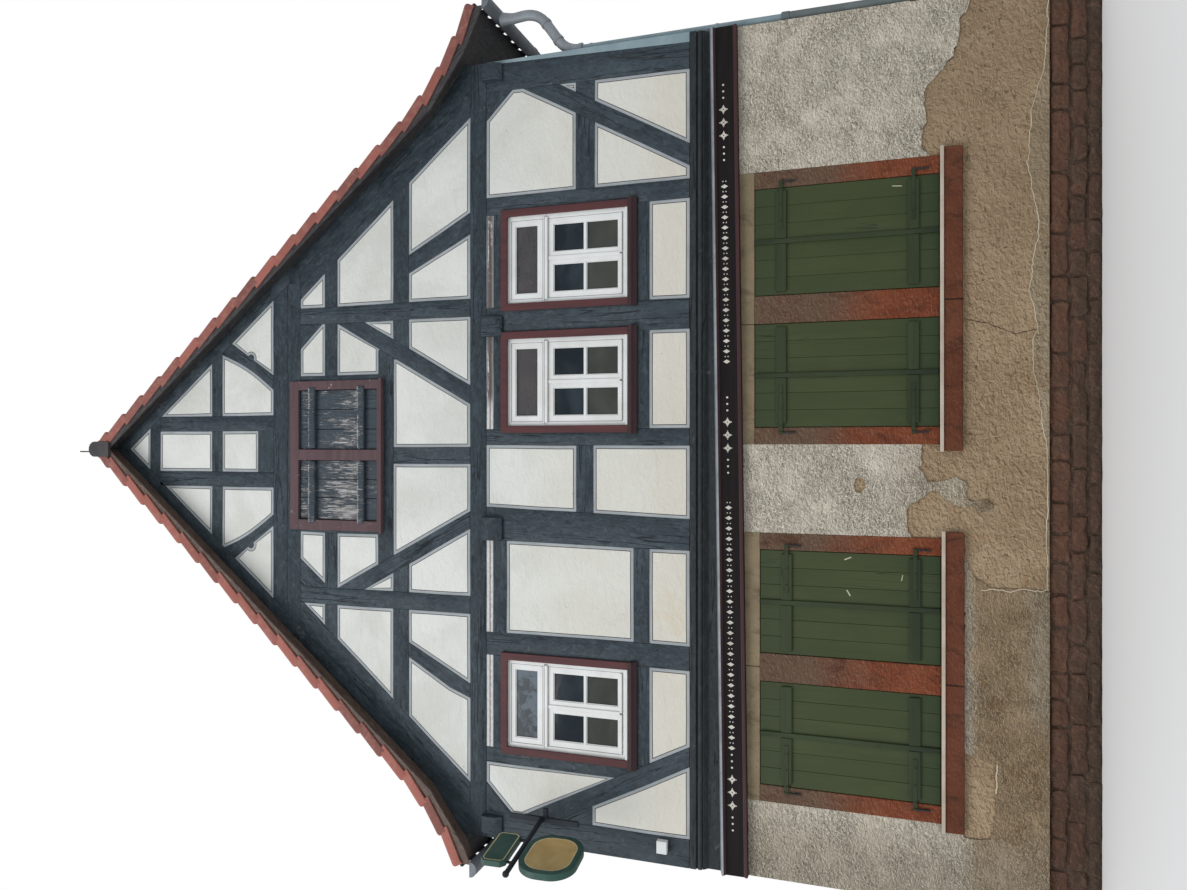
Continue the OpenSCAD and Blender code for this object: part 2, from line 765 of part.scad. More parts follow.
// Shutters of two folding leaves, closed in the stone frames
shutter_y = wall_y + 2;
module shutter_leaves() {
    color(green) for (i = [0, 1]) for (o = pair_openings(i)) {
        middle = (o[0] + o[1]) / 2;
        upright(shutter_y, leaf_t) {
            bar(o[0] + leaf_gap, middle - leaf_gap / 2, o[2] + leaf_gap, o[3] - leaf_gap);
            bar(middle + leaf_gap / 2, o[1] - leaf_gap, o[2] + leaf_gap, o[3] - leaf_gap);
        }
    }
}

// Undersides of the two battens of a shutter
function batten_z(o) = [o[2] + 172, o[3] - 300];
batten_in = 35;
module shutter_battens() {
    color(green) upright(shutter_y - batten_t, batten_t) for (i = [0, 1]) for (o = pair_openings(i)) {
        middle = (o[0] + o[1]) / 2;
        bar(middle - cover_w / 2, middle + cover_w / 2, o[2] + leaf_gap, o[3] - leaf_gap);
        for (z = batten_z(o)) {
            bar(o[0] + batten_in, middle - cover_w / 2 - seam, z, z + batten_h);
            bar(middle + cover_w / 2 + seam, o[1] - batten_in, z, z + batten_h);
        }
    }
}

// Strap hinges run from pins at the stone jamb over the outer leaf of each pair of windows
strap_h = 34;
strap_t = 6;
strap_l = 400;
pin_off = 48;
pin_y = shutter_y - batten_t - strap_t / 2;
// One row for each hinge: [opening edge, outwards, middle height]
hinge_places = [for (i = [0, 1]) for (k = [0, 1]) let (o = pair_openings(i)[k]) for (z = batten_z(o))
    [o[k], 2 * k - 1, z + batten_h / 2]];

module strap(edge, out, z) {
    pin_x = edge + out * pin_off;
    end = edge - out * strap_l;
    difference() {
        union() {
            upright(pin_y - strap_t / 2, strap_t) bar(min(pin_x, end), max(pin_x, end), z - strap_h / 2,
                z + strap_h / 2);
            translate([pin_x, pin_y, z - strap_h / 2]) cylinder(r = pin_r + 5, h = strap_h, $fn = 32);
        }
        translate([pin_x, pin_y, z - strap_h]) cylinder(r = pin_r + 0.5, h = 2 * strap_h, $fn = 32);
    }
}
module strap_hinges() {
    color(green) for (p = hinge_places) strap(p[0], p[1], p[2]);
}

pin_l = 150;
module hinge_pins() {
    color(dark) for (p = hinge_places) {
        pin_x = p[0] + p[1] * pin_off;
        translate([pin_x, pin_y, p[2] + strap_h / 2 - pin_l]) cylinder(r = pin_r, h = pin_l, $fn = 32);
        translate([pin_x, wall_y - stone_proud, p[2] - pin_l / 2 - 20]) rotate([90, 0, 0])
            cylinder(r = pin_r, h = wall_y - stone_proud - pin_y, $fn = 32);
    }
}

module entrance_door() {
    color(green) at_side(3) {
        upright(side_y(3) + 120, 50)
            bar(door_x - door_w / 2 + 66, door_x + door_w / 2 - 66, plinth_h + 4, plinth_h + door_h - 70);
        upright(side_y(3) + 90, 110) difference() {
            bar(door_x - door_w / 2, door_x + door_w / 2, plinth_h, plinth_h + door_h);
            bar(door_x - door_w / 2 + 66, door_x + door_w / 2 - 66, plinth_h - 1, plinth_h + door_h - 70);
        }
    }
}

// All windows
frame_back = 150;

module each_window(kind) {
    for (i = [0 : 2]) one_window(kind, window_x[i], window_bottom, bay_w, window_h, front_y + 10);
    for (i = [0, 1]) for (o = pair_openings(i))
        one_window(kind, (o[0] + o[1]) / 2, o[2], o[1] - o[0], o[3] - o[2], wall_y + frame_back);
    at_side(2) for (i = [0 : 2])
        one_window(kind, window_x[i], window_bottom, bay_w, window_h, side_y(2) + 10);
    for (side = [1, 3]) at_side(side) for (i = side_windows) {
        b = side_bay(i);
        one_window(kind, (b[0] + b[1]) / 2, window_bottom, b[1] - b[0], window_h, side_y(side) + 10);
    }
    for (side = [1 : 3]) at_side(side) for (o = openings_of(side))
        one_window(kind, o[0], o[2], o[1], o[3], side_y(side) + frame_back);
}

module one_window(kind, x, z, w, h, y) {
    if (kind == "frame") window_frame(x, z, w, h, y);
    if (kind == "sash") sashes(x, z, w, h, y);
    if (kind == "glass") panes(x, z, w, h, y);
}

module window_frames() {
    color([0.88, 0.88, 0.86]) each_window("frame");
}

module window_sashes() {
    color([0.90, 0.90, 0.88]) each_window("sash");
}

module window_glass() {
    color([0.25, 0.30, 0.33]) each_window("glass");
}

// Storey beams of the street front

roll_r = 26;
module front_sill_beam() {
    face = front_y;
    step = jetty;
    profile = [[frame_t, 0], [step, 0], [step, 125], [step - 12, 140], [12, 175],
        for (a = [0 : 15 : 180]) [roll_r - roll_r * sin(a) + 2, 205 - roll_r * cos(a)],
        [10, 238], [0, 242], [0, sill_beam_h], [frame_t, sill_beam_h]];
    color(wood) translate([-hw, face, frame_z]) rotate([90, 0, 90])
        linear_extrude(house_w) polygon(profile);
}

module fascia_tilted() {
    translate([0, 0, fascia_z]) rotate([0, -fascia_tilt, 0]) children();
}

module fascia_board() {
    t = fascia_t - stone_proud;
    h = fascia_h;
    profile = [[t, 0], [-12, 0], [-16, 8], [-16, 20], [-8, 26], [0, 38], [0, h - 34], [-10, h - 28],
        [-22, h - 16], [-26, h - 8], [-26, h], [t, h]];
    color(dark) fascia_tilted() translate([-hw, wall_y - fascia_t, 0]) rotate([90, 0, 90])
        linear_extrude(house_w) polygon(profile);
}

module fascia_flashing() {
    h = fascia_h;
    t = fascia_t;
    profile = [[-34, h - 14], [-30, h - 14], [-30, h + 2], [t, h + 28], [t, h + 32],
        [-34, h + 5]];
    color(zinc) fascia_tilted() translate([-hw, wall_y - t, 0]) rotate([90, 0, 90])
        linear_extrude(house_w) polygon(profile);
}

// The two gable walls have the same timber, with a hatch in the front one only
module gable_posts() {
    color(wood) for (side = [0, 2]) at_side(side) upright(front_y, frame_t) {
        storey_posts_2d();
        gable_posts_2d(0, side == 0);
    }
}

module gable_rails() {
    color(wood) for (side = [0, 2]) at_side(side) upright(front_y, frame_t) {
        storey_rails_2d();
        gable_rails_2d();
    }
}

module gable_braces() {
    color(wood) for (side = [0, 2]) at_side(side) upright(front_y, frame_t) {
        storey_braces_2d();
        gable_braces_2d();
    }
}

module gable_beams() {
    color(wood) for (side = [0, 2]) at_side(side) upright(front_y, frame_t) {
        bar(-hw, hw, beam_z, tie_top);
        collar_2d();
        if (side == 2) bar(-hw, hw, frame_z, sill_top);
    }
}

module gable_panels() {
    color(white) for (side = [0, 2]) at_side(side)
        upright(front_y + panel_recess, frame_t - panel_recess) gable_panels_2d(side == 0);
}

module gable_rafters() {
    color(wood) for (side = [0, 2]) at_side(side) upright(front_y, frame_t) for (half = [-1, 1]) {
        gable_rafter_2d(half);
        principal_2d(half);
    }
}

// Carved beam ends under the tie beam
boss_h = 230;
boss_up = 40;
bosses = [[-hw + 70, 175], [post_c[2] + 5, 240], [bay(1)[1], 205], [hw - 210, 175]];
module beam_ends() {
    color(wood) for (b = bosses) translate([b[0], front_y, beam_z + boss_up - boss_h])
        rotate([90, 0, 90]) linear_extrude(b[1])
        polygon([[0, 0], [-boss_out * 0.35, 0], [-boss_out, 70], [-boss_out, boss_h - 20],
            [-boss_out + 20, boss_h], [0, boss_h]]);
}

module architrave(x, w) {
    outer_l = x - w / 2 - architrave_lap;
    outer_r = x + w / 2 + architrave_lap;
    upright(front_y - architrave_t, architrave_t) difference() {
        bar(outer_l, outer_r, window_bottom - 10, window_top + 20);
        bar(outer_l + architrave_w, outer_r - architrave_w, window_bottom - 11,
            window_top + 20 - architrave_w);
    }
}

module window_architraves() {
    color(oxide) for (x = window_x) architrave(x, bay_w);
}

sill_board_out = 65;
module window_sills() {
    color([0.24, 0.15, 0.16]) for (x = window_x) {
        half = bay_w / 2 + architrave_lap + 12;
        z = window_bottom - 10;
        translate([x - half, front_y, z]) rotate([90, 0, 90]) linear_extrude(2 * half)
            polygon([[0, 0], [-sill_board_out, -8], [-sill_board_out, -40], [-sill_board_out + 20, -52],
                [-22, -sill_board_h + 10], [0, -sill_board_h + 10]]);
        upright(front_y, 100) bar(x - bay_w / 2, x + bay_w / 2, sill_top + window_rail[1], window_bottom);
    }
}

hatch_foot = 74;
module hatch_frame() {
    z0 = tie_top + hatch_rail[1];
    z1 = tie_top + collar_rail[0];
    color(oxide) {
        upright(front_y - hatch_frame_t, hatch_frame_t) difference() {
            bar(hatch_frame_x[0], hatch_frame_x[1], z0 - hatch_foot, z1 + hatch_up);
            for (l = hatch_leaves_x) bar(l[0], l[1], z0, z1);
        }
        upright(front_y - 0.5, 90.5) difference() {
            bar(hatch_posts_x[0][1], hatch_posts_x[1][0], z0, z1);
            for (l = hatch_leaves_x) bar(l[0], l[1], z0 - 1, z1 + 1);
        }
        upright(front_y - hatch_frame_t - 30, 30) bar(hatch_frame_x[0] - 15, hatch_frame_x[1] + 15,
            z0 - hatch_foot, z0 - hatch_foot + 35);
    }
}

hatch_leaf_t = 26;
hatch_battens = [160, 800];
module hatch_leaves() {
    z0 = tie_top + hatch_rail[1];
    z1 = tie_top + collar_rail[0];
    color([0.24, 0.28, 0.30]) for (l = hatch_leaves_x) {
        hung_left = l[0] < -100 ? 0 : 3;
        upright(front_y + 4, hatch_leaf_t) bar(l[0] + hung_left, l[1] - 3 + hung_left, z0 + 3, z1 - 3);
        for (up = hatch_battens)
            upright(front_y - 18, 22.5) bar(l[0] + 10, l[1] - 10, z0 + up, z0 + up + 85);
    }
}

// Upper walls along the sides

module side_frames() {
    color(wood) for (side = [1, 3]) at_side(side) upright(side_y(side), frame_t) {
        bar(-side_len / 2, side_len / 2, frame_z, sill_top - seam);
        bar(-side_len / 2, side_len / 2, beam_z + seam, tie_top);
        side_posts_2d();
        side_rails_2d(seam);
        side_braces_2d(seam);
    }
}

module side_panels() {
    color(white) for (side = [1, 3]) at_side(side)
        upright(side_y(side) + panel_recess, frame_t - panel_recess) side_panels_2d();
}

module upper_floor() {
    color([0.45, 0.38, 0.30]) translate([-hw + wall_t, wall_y + wall_t, frame_z - floor_t])
        cube([house_w - 2 * wall_t, house_d - jetty - 2 * wall_t, floor_t]);
}

module attic_floor() {
    color([0.45, 0.38, 0.30]) translate([-hw + frame_t, front_y + frame_t, beam_z])
        cube([house_w - 2 * frame_t, house_d - 2 * frame_t, tie_h]);
}

// Roof

roof_len = house_d + 2 * verge_out;
module roof_slope(side) {
    top = roof_line(eave_x[side > 0 ? 1 : 0]);
    low = flipped(lowered(top, tile_t));
    outline = [for (p = concat(top, low)) [side * max(p[0], seam / 2), p[1]]];
    translate([0, hd + verge_out, 0]) rotate([90, 0, 0]) linear_extrude(roof_len) polygon(outline);
}

module roof_left() {
    color(tile_red) roof_slope(-1);
}

module roof_right() {
    color(tile_red) roof_slope(1);
}

tail_in = 60;
tail_h = 85;
module rafter_2d(side) {
    eave = eave_x[side > 0 ? 1 : 0] - tail_in;
    line = lowered(roof_line(eave), tile_t);
    x = function(p) [side * p[0], p[1]];
    polygon([x([seam / 2, under_apex]), for (i = [1 : 3]) x(line[i]), x([eave, line[3][1] - tail_h]),
        x([hw, tie_top]), x([inner_x(tie_top), tie_top]), x([seam / 2, inner_apex])]);
}

module rafters() {
    gap = (house_d - 2 * frame_t - rafter_w) / (rafter_count + 1);
    color([0.42, 0.33, 0.25]) for (i = [1 : rafter_count]) for (side = [-1, 1])
        upright(front_y + frame_t + i * gap, rafter_w) rafter_2d(side);
}

// Verge board on the end of the tiles, and the soffit boards behind it
module verge_pair(y, soffit_y) {
    for (side = [-1, 1]) {
        line = lowered(roof_line(eave_x[side > 0 ? 1 : 0] - 30), tile_t);
        face = flipped(lowered(line, verge_h - tile_t));
        thin = flipped(lowered(line, board_t));
        upright(y, board_t)
            polygon([for (p = concat(line, face)) [side * max(p[0], seam / 2), p[1]]]);
        upright(soffit_y, verge_out - board_t)
            polygon([for (p = concat(line, thin)) [side * max(p[0], seam / 2), p[1]]]);
    }
}

module verge_boards() {
    color([0.42, 0.37, 0.35]) for (side = [0, 2]) at_side(side)
        mirror([side / 2, 0, 0]) verge_pair(-hd - verge_out, -hd - verge_out + board_t);
}

cap_r = 105;
ridge_lift = 30;
module ridge_2d(r) {
    translate([0, ridge_z - 60]) difference() {
        circle(r = r, $fn = 48);
        circle(r = r - 18, $fn = 48);
        translate([-2 * r, -2 * r]) square([4 * r, 2 * r - 10]);
    }
}

ridge_count = 26;
module ridge_tiles() {
    pitch = (roof_len - 60) / ridge_count;
    color(tile_red) for (i = [0 : ridge_count - 1])
        upright(-hd - verge_out + 60 + i * pitch, pitch - seam) ridge_seat_2d(cap_r);
}

// A ridge tile, with its lower edges cut to the two slopes
module ridge_seat_2d(r) {
    difference() {
        translate([0, ridge_z - 60]) circle(r = r, $fn = 48);
        polygon([[0, ridge_z], [3 * r, ridge_z - 3 * r * main_drop], [-3 * r, ridge_z - 3 * r * main_drop]]);
    }
}

module ridge_end_cap() {
    color(dark) {
        upright(-hd - verge_out - 14, 74) difference() {
            translate([0, ridge_z - 55]) {
                circle(r = 92, $fn = 48);
                translate([-92, -140]) square([184, 140]);
            }
            polygon([[0, ridge_z], [900, ridge_z - 900 * main_drop], [-900, ridge_z - 900 * main_drop]]);
        }
        upright(-hd - verge_out - 14, 14) translate([0, ridge_z - 55]) {
            circle(r = 92, $fn = 48);
            translate([-92, -180]) square([184, 180]);
        }
        translate([-30, -hd - verge_out + 30, ridge_z + 10]) cylinder(r = 8, h = 230, $fn = 24);
    }
}

// Gutters hang in brackets under the lowest tiles
gutter_out = 20;
gutter_down = 75;
function gutter_x(k) = eave_x[k] + gutter_out;
function gutter_z(k) = roof_line(eave_x[k])[3][1] - tile_t / cos(eave_pitch) - gutter_down;
bracket_count = 12;
module gutters() {
    color(zinc) for (k = [0, 1]) {
        side = 2 * k - 1;
        x = side * gutter_x(k);
        z = gutter_z(k);
        translate([x, hd + verge_out, z]) rotate([90, 0, 0]) linear_extrude(roof_len) difference() {
            circle(r = gutter_r, $fn = 48);
            circle(r = gutter_r - 3, $fn = 48);
            translate([-2 * gutter_r, 0]) square([4 * gutter_r, 2 * gutter_r]);
        }
        for (i = [0 : bracket_count - 1])
            translate([x, -hd + 300 + i * (house_d - 600) / (bracket_count - 1), z]) rotate([90, 0, 0])
                linear_extrude(30) difference() {
                    circle(r = gutter_r + 6, $fn = 48);
                    circle(r = gutter_r - 0.5, $fn = 48);
                    translate([-2 * gutter_r, 0]) square([4 * gutter_r, 2 * gutter_r]);
                }
    }
}

module pipe(from, to, r) {
    d = to - from;
    l = norm(d);
    translate(from) rotate([0, acos(d[2] / l), atan2(d[1], d[0])]) cylinder(r = r, h = l, $fn = 40);
}

pipe_foot = 250;
clamp_h = 40;
sleeve_top = masonry_top - 560;
pipe_y = front_y + 150;
plumb_x = hw + pipe_r + 22;
outlet_h = 130;
swan_drop = 420;
swan_h = 310;
module rain_pipe() {
    x_out = gutter_x(1) - 45;
    z_out = gutter_z(1) - sqrt(gutter_r * gutter_r - 45 * 45);
    elbow_z = z_out - swan_drop;
    plumb_z = elbow_z - swan_h;
    color(pale_blue) {
        translate([x_out, pipe_y, z_out - outlet_h]) cylinder(r1 = pipe_r + 6, r2 = pipe_r + 32,
            h = outlet_h + 12, $fn = 40);
        pipe([x_out, pipe_y, z_out - 40], [x_out, pipe_y, elbow_z], pipe_r);
        translate([x_out, pipe_y, elbow_z]) sphere(r = pipe_r + 3, $fn = 40);
        pipe([x_out, pipe_y, elbow_z], [plumb_x, pipe_y, plumb_z], pipe_r);
        translate([plumb_x, pipe_y, plumb_z]) sphere(r = pipe_r + 3, $fn = 40);
        pipe([plumb_x, pipe_y, plumb_z], [plumb_x, pipe_y, sleeve_top - 60], pipe_r);
        pipe([plumb_x, pipe_y, pipe_foot], [plumb_x, pipe_y, sleeve_top], pipe_r + 10);
        for (z = [sleeve_top / 2, frame_z + clamp_h, sill_top + storey_h / 2])
            translate([hw, pipe_y - 12, z]) cube([pipe_r, 24, clamp_h]);
    }
}

// Tapered filling between the leaning corner post and the plumb corner of the wall
module corner_board() {
    color(pale_blue) upright(front_y + 4, frame_t - 4)
        polygon([[hw - right_lean[1] + 1, sill_top + 1], [hw, sill_top + 1], [hw, beam_z - 1],
            [hw - right_lean[3] + 1, beam_z - 1]]);
}

// Sign arm with two blank hanging boards, a little off square to the wall
sign_x = -hw + 270;
arm_z = beam_z - arm_down;
arm_turn = -5.7;
arm_dip = 2.6;
arm_seat = 30;
module along_arm() {
    translate([sign_x, front_y - arm_seat, arm_z]) rotate([arm_dip, 0, arm_turn]) children();
}

wall_bar_w = 52;
wall_bar = [395, 350];
module sign_bracket() {
    color(dark) {
        upright(front_y - 12, 12) bar(sign_x - wall_bar_w / 2, sign_x + wall_bar_w / 2, arm_z - wall_bar[0],
            arm_z + wall_bar[1]);
        upright(front_y - 12, 12) bar(sign_x, sign_x + 120, arm_z - 60, arm_z - 16);
        translate([sign_x, front_y - arm_seat, arm_z]) sphere(r = arm_r + 4, $fn = 40);
        along_arm() {
            rotate([90, 0, 0]) cylinder(r = arm_r, h = arm_out - arm_seat, $fn = 40);
            translate([0, arm_seat - arm_out, 0]) sphere(r = arm_r + 8, $fn = 40);
            for (out = board_near + [60, -60]) translate([-6, -out - 15, 0]) cube([12, 30, board_lift]);
            for (out = hanging_near + [hanging_r + 20, -hanging_r - 20])
                translate([-6, -out - 15, -hanging_drop]) cube([12, 30, hanging_drop]);
        }
    }
}

board_near = [330, 845];
board_lift = 68;
upper_board_h = 250;
upper_board_t = 60;
hanging_near = [285, 945];
hanging_drop = 42;
hanging_t = 70;
hanging_r = 235;
module sign_boards() {
    color([0.15, 0.28, 0.24]) along_arm() {
        l = board_near[1] - board_near[0];
        c = 42;
        h = upper_board_h;
        translate([-upper_board_t / 2, -board_near[1], board_lift]) rotate([90, 0, 90])
            linear_extrude(upper_board_t)
            polygon([[c, 0], [l - c, 0], [l, c], [l, h - c], [l - c, h], [c, h], [0, h - c], [0, c]]);
        w = hanging_near[1] - hanging_near[0];
        translate([-hanging_t / 2, -hanging_near[1], -hanging_drop - hanging_h]) rotate([90, 0, 90])
            linear_extrude(hanging_t) {
                for (u = [hanging_r, w - hanging_r]) for (v = [hanging_r, hanging_h - hanging_r])
                    translate([u, v]) circle(r = hanging_r, $fn = 64);
                translate([hanging_r, 0]) square([w - 2 * hanging_r, hanging_h]);
                translate([0, hanging_r]) square([w, hanging_h - 2 * hanging_r]);
            }
    }
}

module junction_box() {
    color([0.85, 0.86, 0.86]) translate([-hw + 130, front_y - 60, sill_top + 215]) cube([120, 60, 100]);
}

plinth();
ground_floor();
ground_wall_front();
ground_wall_left();
ground_wall_right();
ground_wall_rear();
front_plaster_coat();
stone_lintels();
stone_jambs();
stone_sills();
sill_drip_strips();
shutter_leaves();
shutter_battens();
strap_hinges();
hinge_pins();
window_frames();
window_sashes();
window_glass();
entrance_door();
upper_floor();
front_sill_beam();
fascia_board();
fascia_flashing();
gable_posts();
gable_rails();
gable_braces();
gable_beams();
gable_panels();
beam_ends();
window_architraves();
window_sills();
gable_rafters();
hatch_frame();
hatch_leaves();
side_frames();
side_panels();
attic_floor();
roof_left();
roof_right();
rafters();
verge_boards();
ridge_tiles();
ridge_end_cap();
gutters();
rain_pipe();
corner_board();
sign_bracket();
sign_boards();
junction_box();
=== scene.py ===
# Half timbered house: the looks of every piece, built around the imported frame
import json
import random
from math import atan2, cos, pi, radians, sin
import bpy
from mathutils import Matrix, Vector, noise

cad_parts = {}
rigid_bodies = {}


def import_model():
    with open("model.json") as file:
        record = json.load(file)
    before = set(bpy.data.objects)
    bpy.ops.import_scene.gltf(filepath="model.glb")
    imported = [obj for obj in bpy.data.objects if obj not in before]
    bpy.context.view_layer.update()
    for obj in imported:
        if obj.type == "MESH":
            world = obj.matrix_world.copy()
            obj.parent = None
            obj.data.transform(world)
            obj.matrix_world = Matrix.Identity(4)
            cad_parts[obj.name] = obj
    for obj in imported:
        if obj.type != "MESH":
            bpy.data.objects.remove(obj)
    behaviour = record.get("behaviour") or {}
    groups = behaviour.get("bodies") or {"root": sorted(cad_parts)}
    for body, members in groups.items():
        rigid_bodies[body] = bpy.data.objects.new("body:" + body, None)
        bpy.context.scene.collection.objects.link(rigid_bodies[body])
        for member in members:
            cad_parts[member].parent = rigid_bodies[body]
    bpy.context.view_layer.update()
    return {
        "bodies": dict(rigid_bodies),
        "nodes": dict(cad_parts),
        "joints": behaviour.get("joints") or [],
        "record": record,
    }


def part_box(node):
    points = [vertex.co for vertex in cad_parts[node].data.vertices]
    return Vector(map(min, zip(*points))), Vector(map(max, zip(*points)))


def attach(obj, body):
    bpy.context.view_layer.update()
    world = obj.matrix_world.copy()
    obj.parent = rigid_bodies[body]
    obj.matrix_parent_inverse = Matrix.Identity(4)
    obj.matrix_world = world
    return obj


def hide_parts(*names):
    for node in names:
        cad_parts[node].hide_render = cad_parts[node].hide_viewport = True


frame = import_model()
nodes = frame["nodes"]
draw = random.Random(11)
noise.seed_set(11)


# Working with objects and selections

def editMode():
    bpy.ops.object.mode_set(mode="EDIT")


def objectMode():
    bpy.ops.object.mode_set(mode="OBJECT")


def clearSelection():
    if bpy.context.object and bpy.context.object.mode != "OBJECT":
        objectMode()
    bpy.ops.object.select_all(action="DESELECT")


def makeActive(obj):
    clearSelection()
    obj.select_set(True)
    bpy.context.view_layer.objects.active = obj


# Opens a piece for editing with everything selected
def editAll(obj):
    makeActive(obj)
    editMode()
    bpy.ops.mesh.select_all(action="SELECT")


def applyPlace(obj):
    makeActive(obj)
    bpy.ops.object.transform_apply(location=True, rotation=True, scale=True)


def applyModifier(obj, kind, **settings):
    makeActive(obj)
    modifier = obj.modifiers.new(kind.lower(), kind)
    for key, value in settings.items():
        setattr(modifier, key, value)
    bpy.ops.object.modifier_apply(modifier=modifier.name)


def smoothBy(obj, angle):
    makeActive(obj)
    bpy.ops.object.shade_smooth_by_angle(angle=radians(angle))


def softEdges(obj, width, segments=2, angle=35):
    applyModifier(obj, "BEVEL", width=width, segments=segments, limit_method="ANGLE",
                  angle_limit=radians(angle))
    smoothBy(obj, 40)
    applyModifier(obj, "WEIGHTED_NORMAL", keep_sharp=True)


def pickParts(obj, kind, test):
    makeActive(obj)
    editMode()
    bpy.ops.mesh.select_mode(type=kind)
    bpy.ops.mesh.select_all(action="DESELECT")
    objectMode()
    for part in obj.data.polygons if kind == "FACE" else obj.data.vertices:
        part.select = test(part)
    editMode()


def pickFaces(obj, test):
    pickParts(obj, "FACE", test)


def pickVerts(obj, test):
    pickParts(obj, "VERT", lambda vert: test(vert.co))


def moveVerts(obj, test, shift):
    pickVerts(obj, test)
    bpy.ops.transform.translate(value=shift)
    objectMode()


def dropVerts(obj, test):
    pickVerts(obj, test)
    bpy.ops.mesh.delete(type="VERT")
    objectMode()


# Turns all faces outwards, after near points are welded where a distance is given
def tidyMesh(obj, weld=0.0):
    editAll(obj)
    if weld:
        bpy.ops.mesh.remove_doubles(threshold=weld)
    bpy.ops.mesh.normals_make_consistent(inside=False)
    objectMode()


def start(name, primitive, **settings):
    clearSelection()
    primitive(**settings)
    bpy.context.object.name = name
    return bpy.context.object


def startBox(name, low, high):
    obj = start(name, bpy.ops.mesh.primitive_cube_add, size=1,
                location=[(a + b) / 2 for a, b in zip(low, high)])
    obj.scale = [b - a for a, b in zip(low, high)]
    applyPlace(obj)
    return obj


def startRod(name, radius, depth, middle, turn=(0, 0, 0), sides=16):
    obj = start(name, bpy.ops.mesh.primitive_cylinder_add, vertices=sides, radius=radius, depth=depth,
                location=middle, rotation=turn)
    applyPlace(obj)
    return obj


def startGrid(name, columns, rows, size=2):
    return start(name, bpy.ops.mesh.primitive_grid_add, x_subdivisions=columns, y_subdivisions=rows,
                 size=size)


def copyOf(obj, name, matrix=None):
    twin = bpy.data.objects.new(name, obj.data.copy())
    bpy.context.collection.objects.link(twin)
    if matrix is not None:
        twin.data.transform(matrix)
        if matrix.to_3x3().determinant() < 0:
            twin.data.flip_normals()
    return twin


def dropObjects(*objects):
    for obj in objects:
        bpy.data.objects.remove(obj)


def joinAll(name, parts):
    makeActive(parts[0])
    for part in parts:
        part.select_set(True)
    if len(parts) > 1:
        bpy.ops.object.join()
    parts[0].name = name
    return parts[0]


# A copy of a CAD node to work on, named after it: gable_posts gives gablePosts
def takeNode(node, name="", convex=True, weld=0.00002):
    first, *rest = node.split("_")
    obj = copyOf(nodes[node], name or first + "".join(word.capitalize() for word in rest))
    obj.data.materials.clear()
    editAll(obj)
    bpy.ops.mesh.remove_doubles(threshold=weld)
    bpy.ops.mesh.dissolve_limited(angle_limit=radians(0.4))
    if convex:
        bpy.ops.mesh.vert_connect_concave()
    objectMode()
    return obj


# Keeps the lower half of a disc or rod, closed again along the cut
def keepLower(obj, point):
    editAll(obj)
    bpy.ops.mesh.bisect(plane_co=point, plane_no=(0, 0, 1))
    dropVerts(obj, lambda co: co.z > point[2] + 0.001)
    editAll(obj)
    bpy.ops.mesh.edge_face_add()
    objectMode()


def roughen(obj, amount, scale):
    for vert in obj.data.vertices:
        vert.co += noise.noise_vector(vert.co * scale) * amount
    obj.data.update()


# Cuts a piece along a grid, so that it can be waved or roughened
def cutGrid(obj, axis, low, high, gap):
    count = int((high - low) / gap)
    makeActive(obj)
    editMode()
    for k in range(1, count + 1):
        normal, point = [0, 0, 0], [0, 0, 0]
        normal[axis] = 1
        point[axis] = low + (high - low) * k / (count + 1)
        bpy.ops.mesh.select_all(action="SELECT")
        bpy.ops.mesh.bisect(plane_co=point, plane_no=normal)
    objectMode()


# Slow waves in the gable, the same for timber and plaster, so that their edges stay together
waves = {"gap": 0.24, "width": 0.006, "height": 0.004, "scale": 2.1, "across": (-4.0, 4.0), "up": (3.3, 10.8),
         "still": 3.9, "fade": 0.1}


def waveGable(obj):
    cutGrid(obj, 0, *waves["across"], waves["gap"])
    cutGrid(obj, 2, *waves["up"], waves["gap"])
    for vert in obj.data.vertices:
        shift = noise.noise_vector(vert.co * waves["scale"])
        inside = min(1.0, max(0.0, (waves["still"] - abs(vert.co.x)) / waves["fade"]))
        vert.co.x += shift.x * waves["width"] * inside
        vert.co.z += shift.z * waves["height"] * inside
    obj.data.update()


# Loose members of a mesh, as lists of vertex numbers
def looseMembers(mesh):
    parent = list(range(len(mesh.vertices)))

    def top(i):
        while parent[i] != i:
            parent[i] = parent[parent[i]]
            i = parent[i]
        return i

    for edge in mesh.edges:
        a, b = top(edge.vertices[0]), top(edge.vertices[1])
        if a != b:
            parent[b] = a
    groups = {}
    for i in range(len(parent)):
        groups.setdefault(top(i), []).append(i)
    return list(groups.values())


# Low and high corner of some of a mesh's points
def cornersOf(mesh, member):
    places = [mesh.vertices[i].co for i in member]
    return [[pick(place[k] for place in places) for k in range(3)] for pick in (min, max)]


# Grain runs along each member: stored as along, across and depth, with a shift of its own
def layGrain(obj):
    mesh = obj.data
    members = looseMembers(mesh)
    owner = {i: number for number, member in enumerate(members) for i in member}
    longest = {}
    for edge in mesh.edges:
        a, b = (mesh.vertices[i].co for i in edge.vertices)
        key = owner[edge.vertices[0]]
        if (b - a).length > longest.get(key, (0, None))[0]:
            longest[key] = ((b - a).length, (b - a).normalized())
    grain = mesh.attributes.new("grain", "FLOAT_VECTOR", "POINT")
    for number, member in enumerate(members):
        along = longest[number][1]
        side = Vector((0, 1, 0)) if abs(along.y) < 0.8 else Vector((0, 0, 1))
        across = along.cross(side).normalized()
        depth = along.cross(across)
        shift = Vector([draw.uniform(0, 50) for _ in range(3)])
        for i in member:
            co = mesh.vertices[i].co
            grain.data[i].vector = Vector((co.dot(along), co.dot(across), co.dot(depth))) + shift


# Tint of each loose member, from 0 to 1
def layTint(obj):
    tint = obj.data.attributes.new("tint", "FLOAT", "POINT")
    for member in looseMembers(obj.data):
        value = draw.random()
        for i in member:
            tint.data[i].value = value


